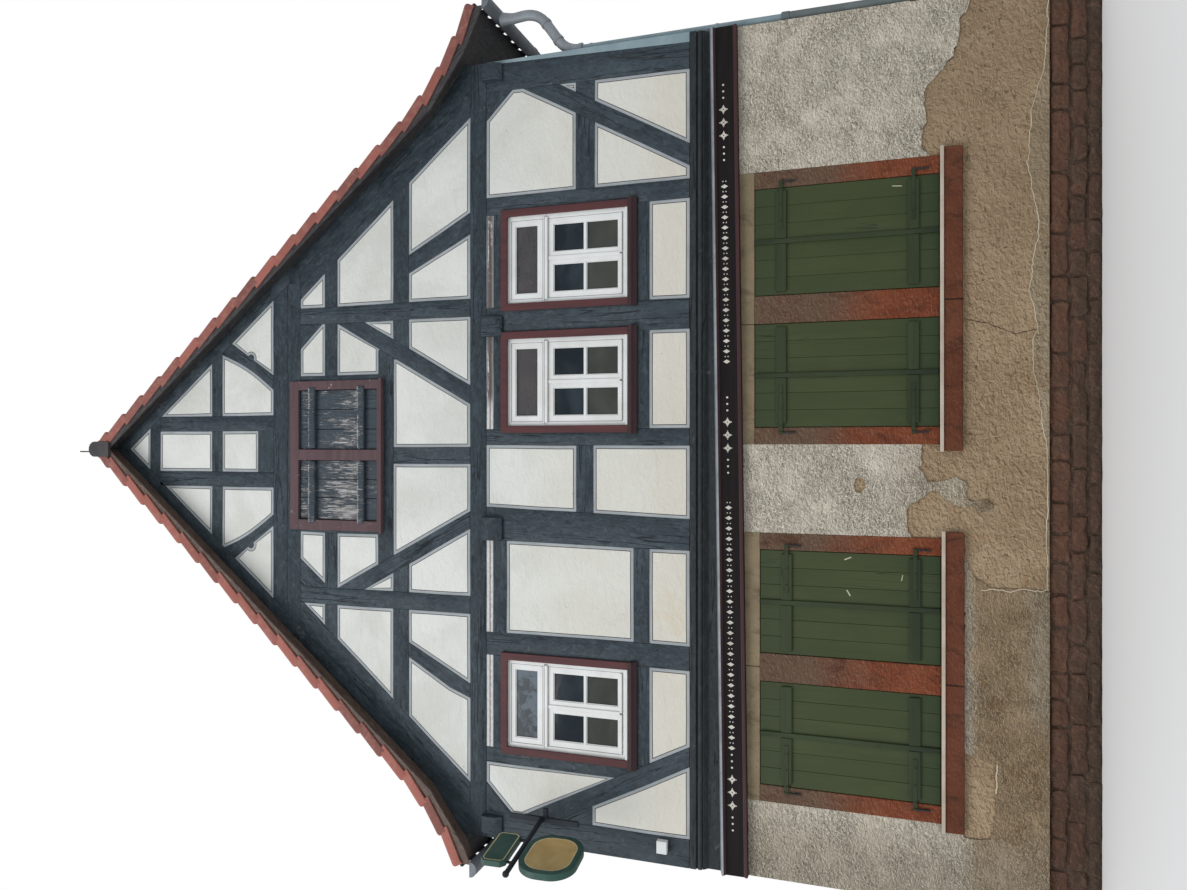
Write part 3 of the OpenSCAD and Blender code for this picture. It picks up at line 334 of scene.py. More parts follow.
# Gives a piece its finishes, its slot and the nodes that it stands for
def dress(obj, names, replaced=()):
    obj.data.materials.clear()
    for name in names.split():
        obj.data.materials.append(finishes[name].material)
    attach(obj, "root")
    if replaced:
        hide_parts(*replaced)
    return obj


def dressNode(node, name):
    nodes[node].data.materials.clear()
    nodes[node].data.materials.append(finishes[name].material)


# Soft edges, then marks such as grain and tint, then the finish
def finishPiece(obj, names, edge=0, segments=2, marks=(), replaced=()):
    if edge:
        softEdges(obj, edge, segments)
    for mark in marks:
        mark(obj)
    return dress(obj, names, replaced)


def finishNode(node, names, edge=0, segments=2, marks=(), name=""):
    return finishPiece(takeNode(node, name), names, edge, segments, marks, [node])


# Gives the second finish of a piece to the faces that pass a test
def secondFinish(obj, test):
    for face in obj.data.polygons:
        face.material_index = int(test(face))


# Shader maths

def paint(colour):
    def linear(c):
        return c / 12.92 if c <= 0.04045 else ((c + 0.055) / 1.055) ** 2.4
    return (*[linear(c / 255) for c in colour], 1.0)


def maths(operation, swapped=False):
    def act(self, other=0.0):
        pair = {0: other, 1: self} if swapped else {0: self, 1: other}
        return self.finish.add("ShaderNodeMath", {"operation": operation}, pair)
    return act


class Signal:
    def __init__(self, finish, socket):
        self.finish = finish
        self.socket = socket

    __add__, __radd__ = maths("ADD"), maths("ADD", True)
    __sub__, __rsub__ = maths("SUBTRACT"), maths("SUBTRACT", True)
    __mul__, __rmul__ = maths("MULTIPLY"), maths("MULTIPLY", True)
    __abs__ = maths("ABSOLUTE")


# A material that is built up from a base colour, layers over it and a bump
class Finish:
    def __init__(self, name):
        self.material = bpy.data.materials.new(name)
        self.material.use_nodes = True
        self.tree = self.material.node_tree
        self.shader = self.tree.nodes["Principled BSDF"]
        self.place = self.add("ShaderNodeTexCoord", {}, {}, "Object")

    def add(self, kind, settings, inputs, out=0):
        node = self.tree.nodes.new(kind)
        for key, value in settings.items():
            setattr(node, key, value)
        for key, value in inputs.items():
            self.feed(node.inputs[key], value)
        return Signal(self, node.outputs[out])

    def feed(self, socket, value):
        if isinstance(value, Signal):
            self.tree.links.new(value.socket, socket)
        else:
            socket.default_value = value

    def read(self, name, out):
        return self.add("ShaderNodeAttribute", {"attribute_name": name}, {}, out)

    def stretch(self, vector, scale, turn=(0, 0, 0)):
        return self.add("ShaderNodeMapping", {}, {"Vector": vector, "Scale": scale, "Rotation": turn})

    def noise(self, vector, scale, detail=4.0, rough=0.55, twist=0.0):
        if isinstance(scale, tuple):
            vector, scale = self.stretch(vector, scale), 1.0
        return self.add("ShaderNodeTexNoise", {}, {"Vector": vector, "Scale": scale, "Detail": detail,
                        "Roughness": rough, "Distortion": twist})

    def cells(self, vector, scale):
        return self.add("ShaderNodeTexVoronoi", {"feature": "SMOOTH_F1"},
                        {"Vector": self.stretch(vector, scale), "Scale": 1.0}, "Distance")

    def parts(self, vector):
        node = self.tree.nodes.new("ShaderNodeSeparateXYZ")
        self.feed(node.inputs[0], vector)
        return [Signal(self, socket) for socket in node.outputs]

    # Smooth step up or down between two values
    def rise(self, value, low, high):
        return self.add("ShaderNodeMapRange", {"interpolation_type": "SMOOTHSTEP"},
                        {"Value": value, "From Min": low, "From Max": high})

    def fall(self, value, low, high):
        return 1.0 - self.rise(value, low, high)

    def lines(self, value, width):
        return self.fall(abs(value - 0.5), 0.0, width)

    # Painted light and shade on the flanks of a rough surface: the noise less the same noise a little further
    # up
    def flanks(self, vector, scale, detail, rough, twist, step, spread):
        if isinstance(scale, tuple):
            vector, scale = self.stretch(vector, scale), 1.0
        moved = self.add("ShaderNodeVectorMath", {"operation": "ADD"}, {0: vector, 1: step})
        first, second = (self.noise(place, scale, detail, rough, twist) for place in (vector, moved))
        return self.rise(first - second, -spread, spread)

    def mix(self, factor, first, second):
        first, second = (paint(one) if isinstance(one, tuple) else one for one in (first, second))
        return self.add("ShaderNodeMix", {"data_type": "RGBA"}, {0: factor, 6: first, 7: second}, 2)

    def base(self, factor, first, second):
        self.colour = self.mix(factor, first, second)

    def lay(self, factor, colour):
        self.colour = self.mix(factor, self.colour, colour)

    # Lays painted shade on the dark flanks and painted highlight on the light flanks
    def shade(self, flankShading, darker, dark, lighter, light):
        self.lay(self.fall(flankShading, 0.0, 0.5) * darker, dark)
        self.lay(self.rise(flankShading, 0.5, 1.0) * lighter, light)

    def done(self, rough, height=None, depth=0.002, metal=0.0, shine=0.5):
        self.feed(self.shader.inputs["Base Color"], self.colour)
        self.feed(self.shader.inputs["Roughness"], rough)
        self.feed(self.shader.inputs["Metallic"], metal)
        self.shader.inputs["Specular IOR Level"].default_value = shine
        if height is not None:
            bump = self.add("ShaderNodeBump", {}, {"Height": height, "Distance": depth}, "Normal")
            self.feed(self.shader.inputs["Normal"], bump)
        return self


# Finishes

def timberFinish(name, dark, mid, light, scuffs=0.4, relief=0.012):
    f = Finish(name)
    grain = f.read("grain", "Vector")
    streaks = f.noise(grain, (1.6, 26, 26), 6, 0.6, 0.4)
    broad = f.noise(grain, (0.9, 3.5, 3.5), 4)
    cracks = f.lines(f.noise(grain, (0.7, 13, 13), 3, 0.5, 0.2), 0.016)
    cracks = cracks * f.rise(broad, 0.46, 0.6)
    hewn = f.cells(grain, (5.0, 10, 10))
    lumps = f.noise(grain, (11, 20, 20), 5, 0.62, 0.9)
    pits = f.rise(f.noise(grain, (16, 40, 40), 3, 0.6), 0.64, 0.72)
    worn = f.rise(f.noise(f.place, 6.0, 7, 0.72), 0.645, 0.70) * scuffs
    x, y, z = f.parts(f.place)
    f.base(f.rise(streaks, 0.25, 0.75) * 0.8 + 0.1, dark, mid)
    # Painted highlights on the raised lumps
    f.lay(f.rise(lumps, 0.45, 0.75) * 0.5, light)
    f.lay(f.rise(broad, 0.45, 0.8) * 0.4, light)
    f.lay(worn, (112, 110, 104))
    # Painted shade and painted highlight on the adze marks
    adzeShading = f.flanks(grain, (7, 16, 16), 5, 0.66, 1.0, (0.0, 0.05, 0.16), 0.2)
    f.shade(adzeShading, 0.45, (20, 25, 28), 0.3, light)
    f.lay(cracks * 0.85, (15, 17, 19))
    f.lay(pits * 0.5, (18, 21, 24))
    # Painted shade: darker towards the left corner
    f.lay(f.fall(x, -4.0, -2.9) * 0.3, dark)
    height = streaks * 0.15 + hewn * 0.5 + lumps * 0.6 - cracks * 0.7 - pits * 0.3
    return f.done(0.5 + streaks * 0.25, height, relief, shine=0.32)


def panelFinish():
    f = Finish("panelPlaster")
    x, y, z = f.parts(f.place)
    broad = f.noise(f.place, 1.1, 4, 0.6, 0.6)
    trowel = f.noise(f.stretch(f.place, (1, 1, 1.7)), 8.0, 5, 0.58, 1.6)
    flow = f.noise(f.stretch(f.place, (1, 1, 2.4)), 2.6, 3, 0.5, 1.2)
    sand = f.noise(f.place, 160.0, 2)
    grime = f.noise(f.stretch(f.place, (5, 5, 1.1)), 1.6, 6, 0.65, 0.5)
    f.base(f.rise(broad, 0.35, 0.7), (207, 209, 205), (194, 195, 189))
    f.lay(f.fall(z, 4.6, 5.9) * 0.5, (203, 200, 188))
    foot = f.fall(z, 3.75, 4.15)
    f.lay(foot * 0.4, (196, 189, 172))
    f.lay(f.rise(grime, 0.6, 0.85) * 0.25, (160, 157, 147))
    stain = f.rise(f.noise(f.place, 2.4, 5, 0.6, 1.0), 0.42, 0.62) * foot * f.fall(abs(x + 1.62), 0.25, 0.55)
    f.lay(stain * 0.22, (190, 164, 124))
    specks = f.rise(f.noise(f.place, 26.0, 2, 0.5), 0.775, 0.80)
    f.lay(specks * 0.6, (96, 92, 86))
    return f.done(0.85, trowel * 0.55 + flow * 0.6 + sand * 0.10, 0.016, shine=0.2)


# White strips under the tie beam, with a thin dark line, weathered on the right
def slotFinish():
    f = Finish("slotPaint")
    x, y, z = f.parts(f.place)
    fray = f.noise(f.place, 24.0, 5, 0.7)
    rub = f.noise(f.place, (2.2, 2, 40), 5, 0.62, 0.5)
    edge = f.rise(abs(z - 5.702), 0.030, 0.036)
    worn = f.rise(rub + fray * 0.25, 0.50, 0.60) * f.rise(x, 0.4, 0.6) * (1.0 - edge)
    f.base(f.rise(fray, 0.35, 0.65), (200, 200, 198), (178, 180, 180))
    f.lay(edge * 0.6, (150, 154, 156))
    f.lay(worn * 0.85, (66, 62, 60))
    f.lay(f.fall(abs(z + fray * 0.012 - 5.706), 0.004, 0.007) * 0.9, (84, 50, 46))
    return f.done(0.8, fray, 0.002, shine=0.2)


def plainPaint(name, main, other, chip=None, chips=0.0, rough=0.5, grainy=False, depth=0.0015, shine=0.3):
    f = Finish(name)
    if grainy:
        streaks = f.noise(f.read("grain", "Vector"), (1.4, 18, 18), 6, 0.6, 0.3)
    else:
        streaks = f.noise(f.place, (3, 3, 3), 6, 0.6, 0.3)
    broad = f.noise(f.place, 1.7, 4)
    f.base(f.rise(streaks, 0.3, 0.72), main, other)
    f.lay(f.rise(broad, 0.45, 0.75) * 0.4, other)
    height = streaks
    if chip:
        bare = f.rise(f.noise(f.place, 16.0, 7, 0.75), 0.72 - 0.12 * chips, 0.75 - 0.12 * chips)
        f.lay(bare, chip)
        height = streaks - bare * 0.8
    return f.done(rough + 0.2 * broad, height, depth, shine=shine)


def shutterFinish(name, main, other, shade):
    f = Finish(name)
    grain = f.read("grain", "Vector")
    fibres = f.noise(grain, (1.1, 34, 34), 6, 0.62, 0.3)
    broad = f.noise(grain, (0.8, 2.5, 2.5), 5, 0.6, 0.4)
    x, y, z = f.parts(f.place)
    f.base(f.rise(broad + f.read("tint", "Fac") * 0.10, 0.40, 0.75), main, other)
    f.lay(f.fall(z + broad * 0.5, 1.45, 2.0) * 0.75, shade)
    f.lay(f.rise(z + broad * 0.3, 2.75, 3.1) * 0.5, shade)
    f.lay(f.rise(fibres, 0.5, 0.75) * 0.35, shade)
    splits = f.lines(f.noise(grain, (0.45, 9, 9), 2, 0.5, 0.1), 0.006) * f.rise(broad, 0.55, 0.66)
    f.lay(splits * 0.8, (22, 26, 18))
    f.lay(f.rise(f.noise(f.place, 5.0, 7, 0.74, 0.5), 0.655, 0.69) * 0.55, shade)
    chip = f.rise(f.noise(f.stretch(f.place, (1, 1, 1.8)), 9.0, 5, 0.68), 0.742, 0.752)
    f.lay(chip * 0.8, (176, 178, 150))
    height = fibres * 0.5 + broad * 0.5 - splits * 0.8 - chip * 0.4
    return f.done(0.5 + fibres * 0.15, height, 0.003, shine=0.3)


def metalFinish(name, main, other, rough=0.45, metal=0.7):
    f = Finish(name)
    broad = f.noise(f.place, 3.2, 6, 0.65)
    fine = f.noise(f.stretch(f.place, (1, 4, 1)), 22.0, 4, 0.6)
    f.base(f.rise(broad, 0.35, 0.7), main, other)
    f.lay(f.rise(fine, 0.55, 0.8) * 0.35, (70, 66, 62))
    return f.done(rough + broad * 0.25, fine, 0.001, metal)


# Dressed stone, whose colour may change with its height over the ground
def stoneFinish(name, main, dark, pale, upper=None, change=(1.5, 2.4), depth=0.012, tooled=0.3):
    f = Finish(name)
    x, y, z = f.parts(f.place)
    broad = f.noise(f.place, 2.3, 5, 0.62, 0.6)
    blotch = f.noise(f.stretch(f.place, (1, 1, 0.6)), 6.5, 6, 0.68, 0.7)
    fine = f.noise(f.place, 38.0, 6, 0.7)
    tool = f.noise(f.place, (9, 9, 26), 3, 0.5, 2.2)
    f.base(f.rise(broad, 0.3, 0.7), main, pale)
    if upper:
        f.lay(f.rise(z + broad * 0.9 - 0.45, *change), upper)
    f.lay(f.rise(blotch, 0.48, 0.7) * 0.75, dark)
    f.lay(f.rise(fine, 0.56, 0.75) * 0.4, dark)
    f.lay(f.rise(tool, 0.56, 0.75) * 0.25, pale)
    # Painted shade and painted highlight on the tooled flanks
    flankShading = f.flanks(f.stretch(f.place, (9, 9, 17), (0, 0.5, 0)), 1.0, 4, 0.6, 2.6, (0.06, 0, -0.14), 0.2)
    f.lay(f.fall(flankShading, 0.0, 0.5) * 0.35 * tooled, dark)
    f.lay(f.rise(flankShading, 0.5, 1.0) * 0.25 * tooled, (160, 128, 108))
    return f.done(0.85, tool * 0.6 + blotch * 0.3 + fine * 0.2, depth, shine=0.2)


# Rough foundation stone, each with a tint of its own
def plinthFinish(name, stones):
    f = Finish(name)
    x, y, z = f.parts(f.place)
    broad = f.noise(f.place, 3.4, 5, 0.62, 0.5)
    fine = f.noise(f.place, 44.0, 6, 0.72)
    lumps = f.noise(f.place, 13.0, 5, 0.62, 0.8)
    if stones:
        f.base(f.rise(f.read("tint", "Fac"), 0.1, 0.9), (78, 62, 52), (90, 65, 54))
        f.lay(f.rise(z, 0.23, 0.27) * 0.6, (102, 71, 57))
    else:
        f.base(f.rise(f.noise(f.place, 3.0, 2), 0.4, 0.6), (66, 54, 46), (78, 64, 54))
    f.lay(f.rise(broad, 0.42, 0.68) * 0.6, (78, 67, 57))
    f.lay(f.rise(lumps, 0.5, 0.72) * 0.5, (112, 82, 67))
    # Painted shade: darker towards the left
    f.lay(f.fall(x, -3.2, -1.4) * 0.3, (60, 50, 43))
    f.lay(f.fall(z + broad * 0.1, 0.08, 0.24) * 0.5, (66, 58, 49))
    f.lay(f.rise(fine, 0.54, 0.7) * 0.5, (54, 43, 36))
    # Painted shade and painted highlight on the flanks of the stones
    flankShading = f.flanks(f.place, 15.0, 6, 0.66, 0.5, (0.006, 0.006, -0.012), 0.2)
    f.shade(flankShading, 0.4, (48, 38, 32), 0.3, (128, 98, 82))
    return f.done(0.9, lumps * 0.7 + fine * 0.35, 0.026, shine=0.15)


# Rough coat, brown and washed out under the left windows and low between the windows
def roughcastFinish():
    f = Finish("roughcast")
    x, y, z = f.parts(f.place)
    broad = f.noise(f.place, 0.9, 5, 0.66, 0.2)
    mottle = f.noise(f.place, 3.0, 7, 0.7, 0.3)
    flatter = f.stretch(f.place, (1, 1, 1.5))
    swirl = f.noise(flatter, 26.0, 3, 0.6, 1.6)
    furrows = f.lines(swirl, 0.055) * f.rise(mottle, 0.30, 0.66)
    grit = f.noise(f.place, 95.0, 4, 0.7)
    crumbs = f.noise(f.place, 46.0, 5, 0.7, 0.6)
    pits = f.rise(f.noise(f.stretch(f.place, (1, 1, 1.4)), 30.0, 4, 0.62, 0.8), 0.60, 0.68)
    f.base(f.rise(broad, 0.3, 0.7), (198, 191, 176), (184, 176, 160))
    f.lay(f.rise(crumbs, 0.42, 0.7) * 0.55, (212, 205, 190))
    f.lay(f.rise(grit, 0.5, 0.75) * 0.35, (134, 125, 110))
    low = f.fall(z + mottle * 0.25 - 0.12, 0.95, 1.16)
    between = f.fall(abs(x + 0.36), 0.25, 0.5) * f.fall(z + mottle * 0.4, 1.5, 2.0)
    # Painted shade: darker towards the left corner, with less painted highlight there
    left = f.fall(x + mottle * 0.5, -3.55, -3.0)
    f.lay(left * 0.7, (138, 129, 112))
    brown = low * (1.0 - left * 0.45)
    f.lay(brown * 0.95, (134, 112, 83))
    f.lay(between * 0.75, (142, 128, 106))
    rust = f.rise(mottle, 0.48, 0.66) * low * (1.0 - left)
    f.lay(rust * 0.6, (124, 92, 58))
    pale = f.fall(z + mottle * 0.5, 0.68, 0.92) * f.fall(abs(x + 1.75), 0.45, 0.75)
    f.lay(pale * 0.4, (156, 152, 138))
    f.lay(f.fall(z + mottle * 0.25, 0.5, 0.62) * 0.5, (120, 105, 84))
    f.lay(furrows * 0.65, (98, 88, 72))
    f.lay(pits * 0.5, (112, 102, 86))
    # Painted shade and painted highlight on the flanks of the coat
    flankShading = f.flanks(flatter, 24.0, 5, 0.62, 0.9, (0.004, 0, -0.008), 0.16)
    f.shade(flankShading, 0.5 + f.rise(mottle, 0.36, 0.64) * 0.15, (104, 94, 78),
            0.6 - brown * 0.4 - left * 0.2, (226, 219, 204))
    height = crumbs * 0.55 + grit * 0.25 - furrows * 0.3 - pits * 0.35 + swirl * 0.3
    return f.done(0.92, height, 0.016, shine=0.12)


def barePlasterFinish(name, main, dark, pale):
    f = Finish(name)
    x, y, z = f.parts(f.place)
    broad = f.noise(f.place, 1.0, 5, 0.6, 0.8)
    mottle = f.noise(f.place, 3.6, 5, 0.64, 0.7)
    scoops = f.noise(f.stretch(f.place, (18, 18, 34), (0, 0.55, 0)), 1.0, 4, 0.6, 1.1)
    lumps = f.noise(f.place, 13.0, 5, 0.66, 1.0)
    fine = f.noise(f.place, 60.0, 5, 0.7)
    pits = f.rise(f.noise(f.stretch(f.place, (1, 1, 1.5)), 24.0, 4, 0.62, 0.7), 0.62, 0.70)
    worn = f.rise(x + mottle * 1.5, 1.6, 3.4)
    f.base(f.rise(broad, 0.3, 0.7), main, dark)
    f.lay(f.rise(mottle, 0.45, 0.72) * 0.7, pale)
    # Painted shade in the scoops, stronger on the worn right side
    f.lay(f.rise(scoops, 0.54, 0.7) * (0.3 + worn * 0.3), dark)
    f.lay(f.rise(fine, 0.52, 0.72) * 0.35, (112, 94, 73))
    stain = f.rise(f.noise(f.place, 2.3, 4, 0.6, 0.9), 0.58, 0.74)
    f.lay(stain * 0.4, (148, 108, 76))
    f.lay(pits * 0.25, (92, 76, 58))
    # Painted shade and painted highlight on the flanks of the plaster
    sloped = f.stretch(f.place, (1, 1, 1.4), (0, 0.4, 0))
    flankShading = f.flanks(sloped, 19.0, 6, 0.62, 0.8, (0.005, 0, -0.010), 0.16)
    f.shade(flankShading, 0.65, (94, 76, 57), 0.5, (184, 164, 136))
    f.lay(f.rise(x, 1.2, 2.2) * 0.25, (122, 104, 82))
    f.lay(f.fall(z + mottle * 0.2, 0.46, 0.58) * 0.4, (126, 114, 94))
    height = scoops * 0.4 + lumps * 0.6 + fine * 0.25 - pits * 0.35
    return f.done(0.9, height, 0.026, shine=0.12)


# Panes with painted reflections: the lower ones dull olive, the upper ones dark
def glassFinish(name, alpha=1.0):
    f = Finish(name)
    x, y, z = f.parts(f.place)
    wobble = f.noise(f.stretch(f.place, (1, 1, 1.8)), 2.2, 3, 0.5, 0.5)
    sheen = f.rise(wobble, 0.35, 0.7)
    dark = f.mix(sheen, (26, 34, 40), (44, 54, 60))
    olive = f.mix(sheen, (60, 63, 57), (70, 72, 66))
    oliveReflection = f.fall(z, 4.635, 4.65) * f.rise(z, 4.1, 4.2)
    # Painted reflection of the sky through leaves, in the transom lights
    sky = f.rise(z, 5.08, 5.12) * f.fall(z, 5.6, 5.65)
    leaves = f.noise(f.place, 7.0, 5, 0.7, 0.6)
    f.base(oliveReflection * 0.85, dark, olive)
    f.lay(sky * f.rise(leaves + (x + 2.6) * 0.25, 0.42, 0.55), (76, 88, 98))
    f.shader.inputs["Alpha"].default_value = alpha
    return f.done(0.1, wobble, 0.002, shine=0.14)


def tileFinish(name, first, second, aged):
    f = Finish(name)
    broad = f.noise(f.place, 0.8, 4, 0.6)
    blotch = f.noise(f.place, 14.0, 5, 0.65)
    fine = f.noise(f.place, 90.0, 3)
    f.base(f.rise(f.read("tint", "Fac"), 0.0, 1.0), first, second)
    f.lay(f.rise(blotch, 0.45, 0.7) * 0.5, (158, 112, 100))
    f.lay(f.rise(broad, 0.5, 0.75) * aged, (98, 74, 68))
    f.lay(f.rise(f.noise(f.place, 30.0, 5, 0.7), 0.64, 0.72) * aged, (140, 138, 118))
    return f.done(0.7, fine * 0.3 + blotch * 0.4, 0.004, shine=0.25)


# Old paint that peels from the boards of the hatch, most on the left leaf and beside the ledges
def peelingFinish():
    f = Finish("hatchPaint")
    grain = f.read("grain", "Vector")
    x, y, z = f.parts(f.place)
    fibres = f.noise(grain, (2.0, 70, 70), 5, 0.6)
    peel = f.noise(grain, (7.0, 80, 80), 7, 0.80, 0.3)
    where = f.noise(f.stretch(f.place, (4.5, 1, 1.6)), 2.2, 3, 0.5)
    side = f.rise(x, -0.35, 0.25) * 0.05
    field = f.rise(z, 7.29, 7.32) * f.fall(z, 7.42, 7.85) * 0.05
    ledge = f.fall(abs(z - 7.295), 0.010, 0.022)
    ledge = ledge + 1.0 - f.rise(abs(z - 7.935), 0.010, 0.022)
    shelter = f.fall(z, 7.20, 7.29) * 0.05 + f.rise(z, 7.76, 7.84) * f.fall(z, 7.90, 7.92) * 0.04
    bare = f.rise(peel + where * 0.34 - side + field - shelter + ledge * 0.10, 0.688, 0.73)
    f.base(f.rise(fibres, 0.3, 0.7), (44, 54, 62), (60, 70, 78))
    f.lay(bare, f.mix(f.rise(fibres, 0.35, 0.65), (170, 170, 170), (122, 118, 116)))
    return f.done(0.6 + bare * 0.25, fibres * 0.4 - bare * 0.6, 0.004, shine=0.25)


finishes = {
    "timber": timberFinish("darkTimber", (34, 44, 50), (46, 58, 65), (70, 84, 92)),
    "sillTimber": timberFinish("sillTimber", (24, 30, 34), (36, 43, 47), (58, 64, 67), 0.6),
    "panel": panelFinish(),
    "slot": slotFinish(),
    "border": plainPaint("panelBorder", (160, 165, 167), (140, 146, 149), rough=0.75),
    "borderLine": plainPaint("borderLine", (58, 52, 54), (78, 74, 76), rough=0.7),
    "oxide": plainPaint("oxidePaint", (84, 46, 47), (70, 40, 42), (140, 134, 128), -0.1, 0.55, True),
    "hatchOxide": plainPaint("hatchOxide", (74, 56, 60), (88, 68, 72), (150, 142, 140), 0.7, 0.6, True),
    "sillPaint": plainPaint("sillPaint", (46, 28, 31), (60, 38, 40), (120, 112, 108), 0.1, 0.5, True),
    "hatch": peelingFinish(),
    "white": plainPaint("whitePaint", (218, 220, 219), (204, 206, 203), (150, 144, 132), -0.3, 0.4,
                        depth=0.0006),
    # Grey rings as painted shade for the shadow gap round the sashes
    "seal": plainPaint("seal", (112, 114, 115), (90, 92, 94), rough=0.6),
    "glass": glassFinish("windowGlass"),
    "clearGlass": glassFinish("clearGlass", 0.22),
    "slats": plainPaint("brownSlats", (116, 98, 86), (84, 70, 62), rough=0.6),
    "fascia": plainPaint("fasciaPaint", (20, 17, 18), (31, 26, 27), (88, 78, 74), -0.1, 0.6, True,
                         shine=0.12),
    "moulding": plainPaint("mouldingPaint", (66, 36, 37), (52, 30, 32), rough=0.5, grainy=True),
    "ornament": plainPaint("ornamentPaint", (204, 200, 190), (176, 172, 162), rough=0.6),
    # Darker zinc: painted shade for the gutters under the eaves
    "zincShaded": metalFinish("zincShaded", (112, 118, 124), (92, 97, 103), 0.55, 0.3),
    "zinc": metalFinish("zincSheet", (146, 152, 157), (120, 126, 130), 0.5, 0.35),
    "iron": metalFinish("darkIron", (34, 33, 36), (50, 47, 46), 0.55, 0.3),
    "signIron": plainPaint("signIron", (36, 42, 49), (28, 33, 39), rough=0.5, shine=0.2),
    "capMetal": metalFinish("capMetal", (48, 46, 50), (70, 66, 66), 0.5, 0.3),
    "pipe": plainPaint("pipePaint", (136, 155, 162), (118, 136, 143), (112, 104, 96), -0.1, 0.45),
    "sleeve": plainPaint("sleevePaint", (104, 112, 114), (88, 96, 98), rough=0.5),
    "roughcast": roughcastFinish(),
    "barePlaster": barePlasterFinish("barePlaster", (160, 139, 112), (134, 114, 89), (174, 154, 127)),
    "skirt": barePlasterFinish("skirtPlaster", (148, 136, 114), (126, 112, 90), (166, 154, 132)),
    "gap": plainPaint("openJoint", (30, 22, 18), (44, 32, 26), rough=0.9),
    "plasterEdge": plainPaint("plasterEdge", (204, 194, 174), (170, 158, 136), rough=0.85),
    # The pale lintel stone is darkened as painted shade under the jetty
    "lintel": stoneFinish("paleStone", (120, 108, 86), (88, 76, 60), (136, 122, 98)),
    "jamb": stoneFinish("redStone", (106, 52, 30), (70, 41, 29), (122, 66, 42), (92, 74, 60), (1.75, 2.45),
                        0.024, 0.75),
    "sill": stoneFinish("sillStone", (86, 46, 30), (54, 35, 26), (102, 60, 42)),
    "plinth": plinthFinish("plinthStone", True),
    "mortar": plinthFinish("plinthMortar", False),
    "drip": plainPaint("trimPaint", (186, 176, 162), (164, 152, 136), (104, 88, 72), 0.1, 0.6),
    "chip": plainPaint("paleChip", (178, 178, 150), (154, 152, 124), rough=0.7),
    "shutter": shutterFinish("shutterPaint", (51, 61, 31), (58, 67, 37), (37, 53, 28)),
    "batten": shutterFinish("battenPaint", (41, 52, 28), (48, 60, 34), (16, 28, 15)),
    "tile": tileFinish("roofTile", (154, 93, 82), (136, 83, 74), 0.5),
    "tileShade": plainPaint("tileShade", (66, 54, 53), (48, 42, 44), rough=0.85),
    "verge": timberFinish("vergeWood", (70, 56, 50), (98, 80, 71), (122, 104, 93), 0.3, 0.008),
    # The same verge wood, darker as painted shade
    "vergeDark": timberFinish("vergeDark", (44, 42, 44), (62, 59, 60), (84, 80, 80), 0.3, 0.008),
    "vergeTile": tileFinish("vergeTile", (152, 92, 82), (118, 74, 68), 0.3),
    "rafter": timberFinish("rafterWood", (50, 50, 52), (66, 65, 66), (84, 83, 84), 0.2, 0.006),
    "floorWood": plainPaint("floorWood", (134, 108, 82), (112, 88, 66), rough=0.6),
    "floorStone": stoneFinish("floorStone", (128, 122, 114), (100, 96, 90), (140, 134, 126)),
    "sign": plainPaint("signPaint", (34, 64, 58), (44, 76, 68), rough=0.4),
    "signField": plainPaint("signField", (188, 162, 108), (158, 132, 84), rough=0.5),
    "signRim": plainPaint("signRim", (206, 190, 150), (186, 170, 132), rough=0.5),
    "plastic": plainPaint("whitePlastic", (206, 208, 208), (192, 194, 194), rough=0.35),
}
print("finishes made:", len(finishes))


# Timber members of the two gables and of the side walls

timberSizes = {"edge": 0.007}
for node in ("gable_posts", "gable_rails", "gable_braces", "gable_beams", "gable_rafters"):
    finishNode(node, "timber", timberSizes["edge"], 2, (layGrain, waveGable))
for node, finish, slot, name in (("side_frames", "timber", "dark_timber", ""),
                                 ("beam_ends", "timber", "dark_timber", ""),
                                 ("front_sill_beam", "sillTimber", "dark_timber", ""),
                                 ("rafters", "rafter", "rafter_wood", "roofRafters")):
    finishNode(node, finish, timberSizes["edge"], 2, (layGrain,), name)
print("timber members done")


# White panels with a painted border along the timber

panelSizes = {"band": 0.028, "line": 0.008, "narrow": 0.03, "slot": (5.65, 5.76), "slotHeight": 0.12}


# How far a line from a point runs inside an outline before it meets the far side
def roomAhead(points, start, ahead, normal, skip):
    nearest = 10.0
    for k, a in enumerate(points):
        run = points[(k + 1) % len(points)] - a
        wall = normal.cross(run)
        facing = ahead.dot(wall)
        if k in skip or abs(facing) < 1e-9:
            continue
        reach = (a - start).dot(wall) / facing
        if 1e-6 < reach < nearest:
            place = (start + ahead * reach - a).dot(run) / run.length_squared
            if -0.001 <= place <= 1.001:
                nearest = reach
    return nearest


# Moves the outline of a flat face inwards, less where the face is narrow
def drawIn(mesh, face, width):
    corners = []
    followers = []
    for i in face.vertices:
        place = mesh.vertices[i].co.copy()
        if not corners or (place - corners[-1]).length > 0.001:
            corners.append(place)
        followers.append(len(corners) - 1)
    if (corners[-1] - corners[0]).length <= 0.001:
        followers = [0 if k == len(corners) - 1 else k for k in followers]
        corners.pop()
    count = len(corners)
    moved = []
    for k in range(count):
        before = (corners[k] - corners[k - 1]).normalized()
        after = (corners[(k + 1) % count] - corners[k]).normalized()
        both = face.normal.cross(before) + face.normal.cross(after)
        if both.length < 0.2:
            both = after - before
        reach = min(width / max(both.length / 2, 0.2), width * 2.5)
        ahead = both.normalized()
        room = roomAhead(corners, corners[k], ahead, face.normal, (k, (k - 1) % count))
        moved.append(corners[k] + ahead * min(reach, room * 0.4))
    # Short edges that would turn round are closed to a point
    for _ in range(4):
        for k in range(count):
            n = (k + 1) % count
            if (moved[n] - moved[k]).dot(corners[n] - corners[k]) < 0:
                moved[k] = (moved[n] + moved[k]) / 2
                moved[n] = moved[k].copy()
    for i, k in zip(face.vertices, followers):
        mesh.vertices[i].co = moved[k]


def isSlotHeight(face):
    return panelSizes["slot"][0] < face.center.z < panelSizes["slot"][1]


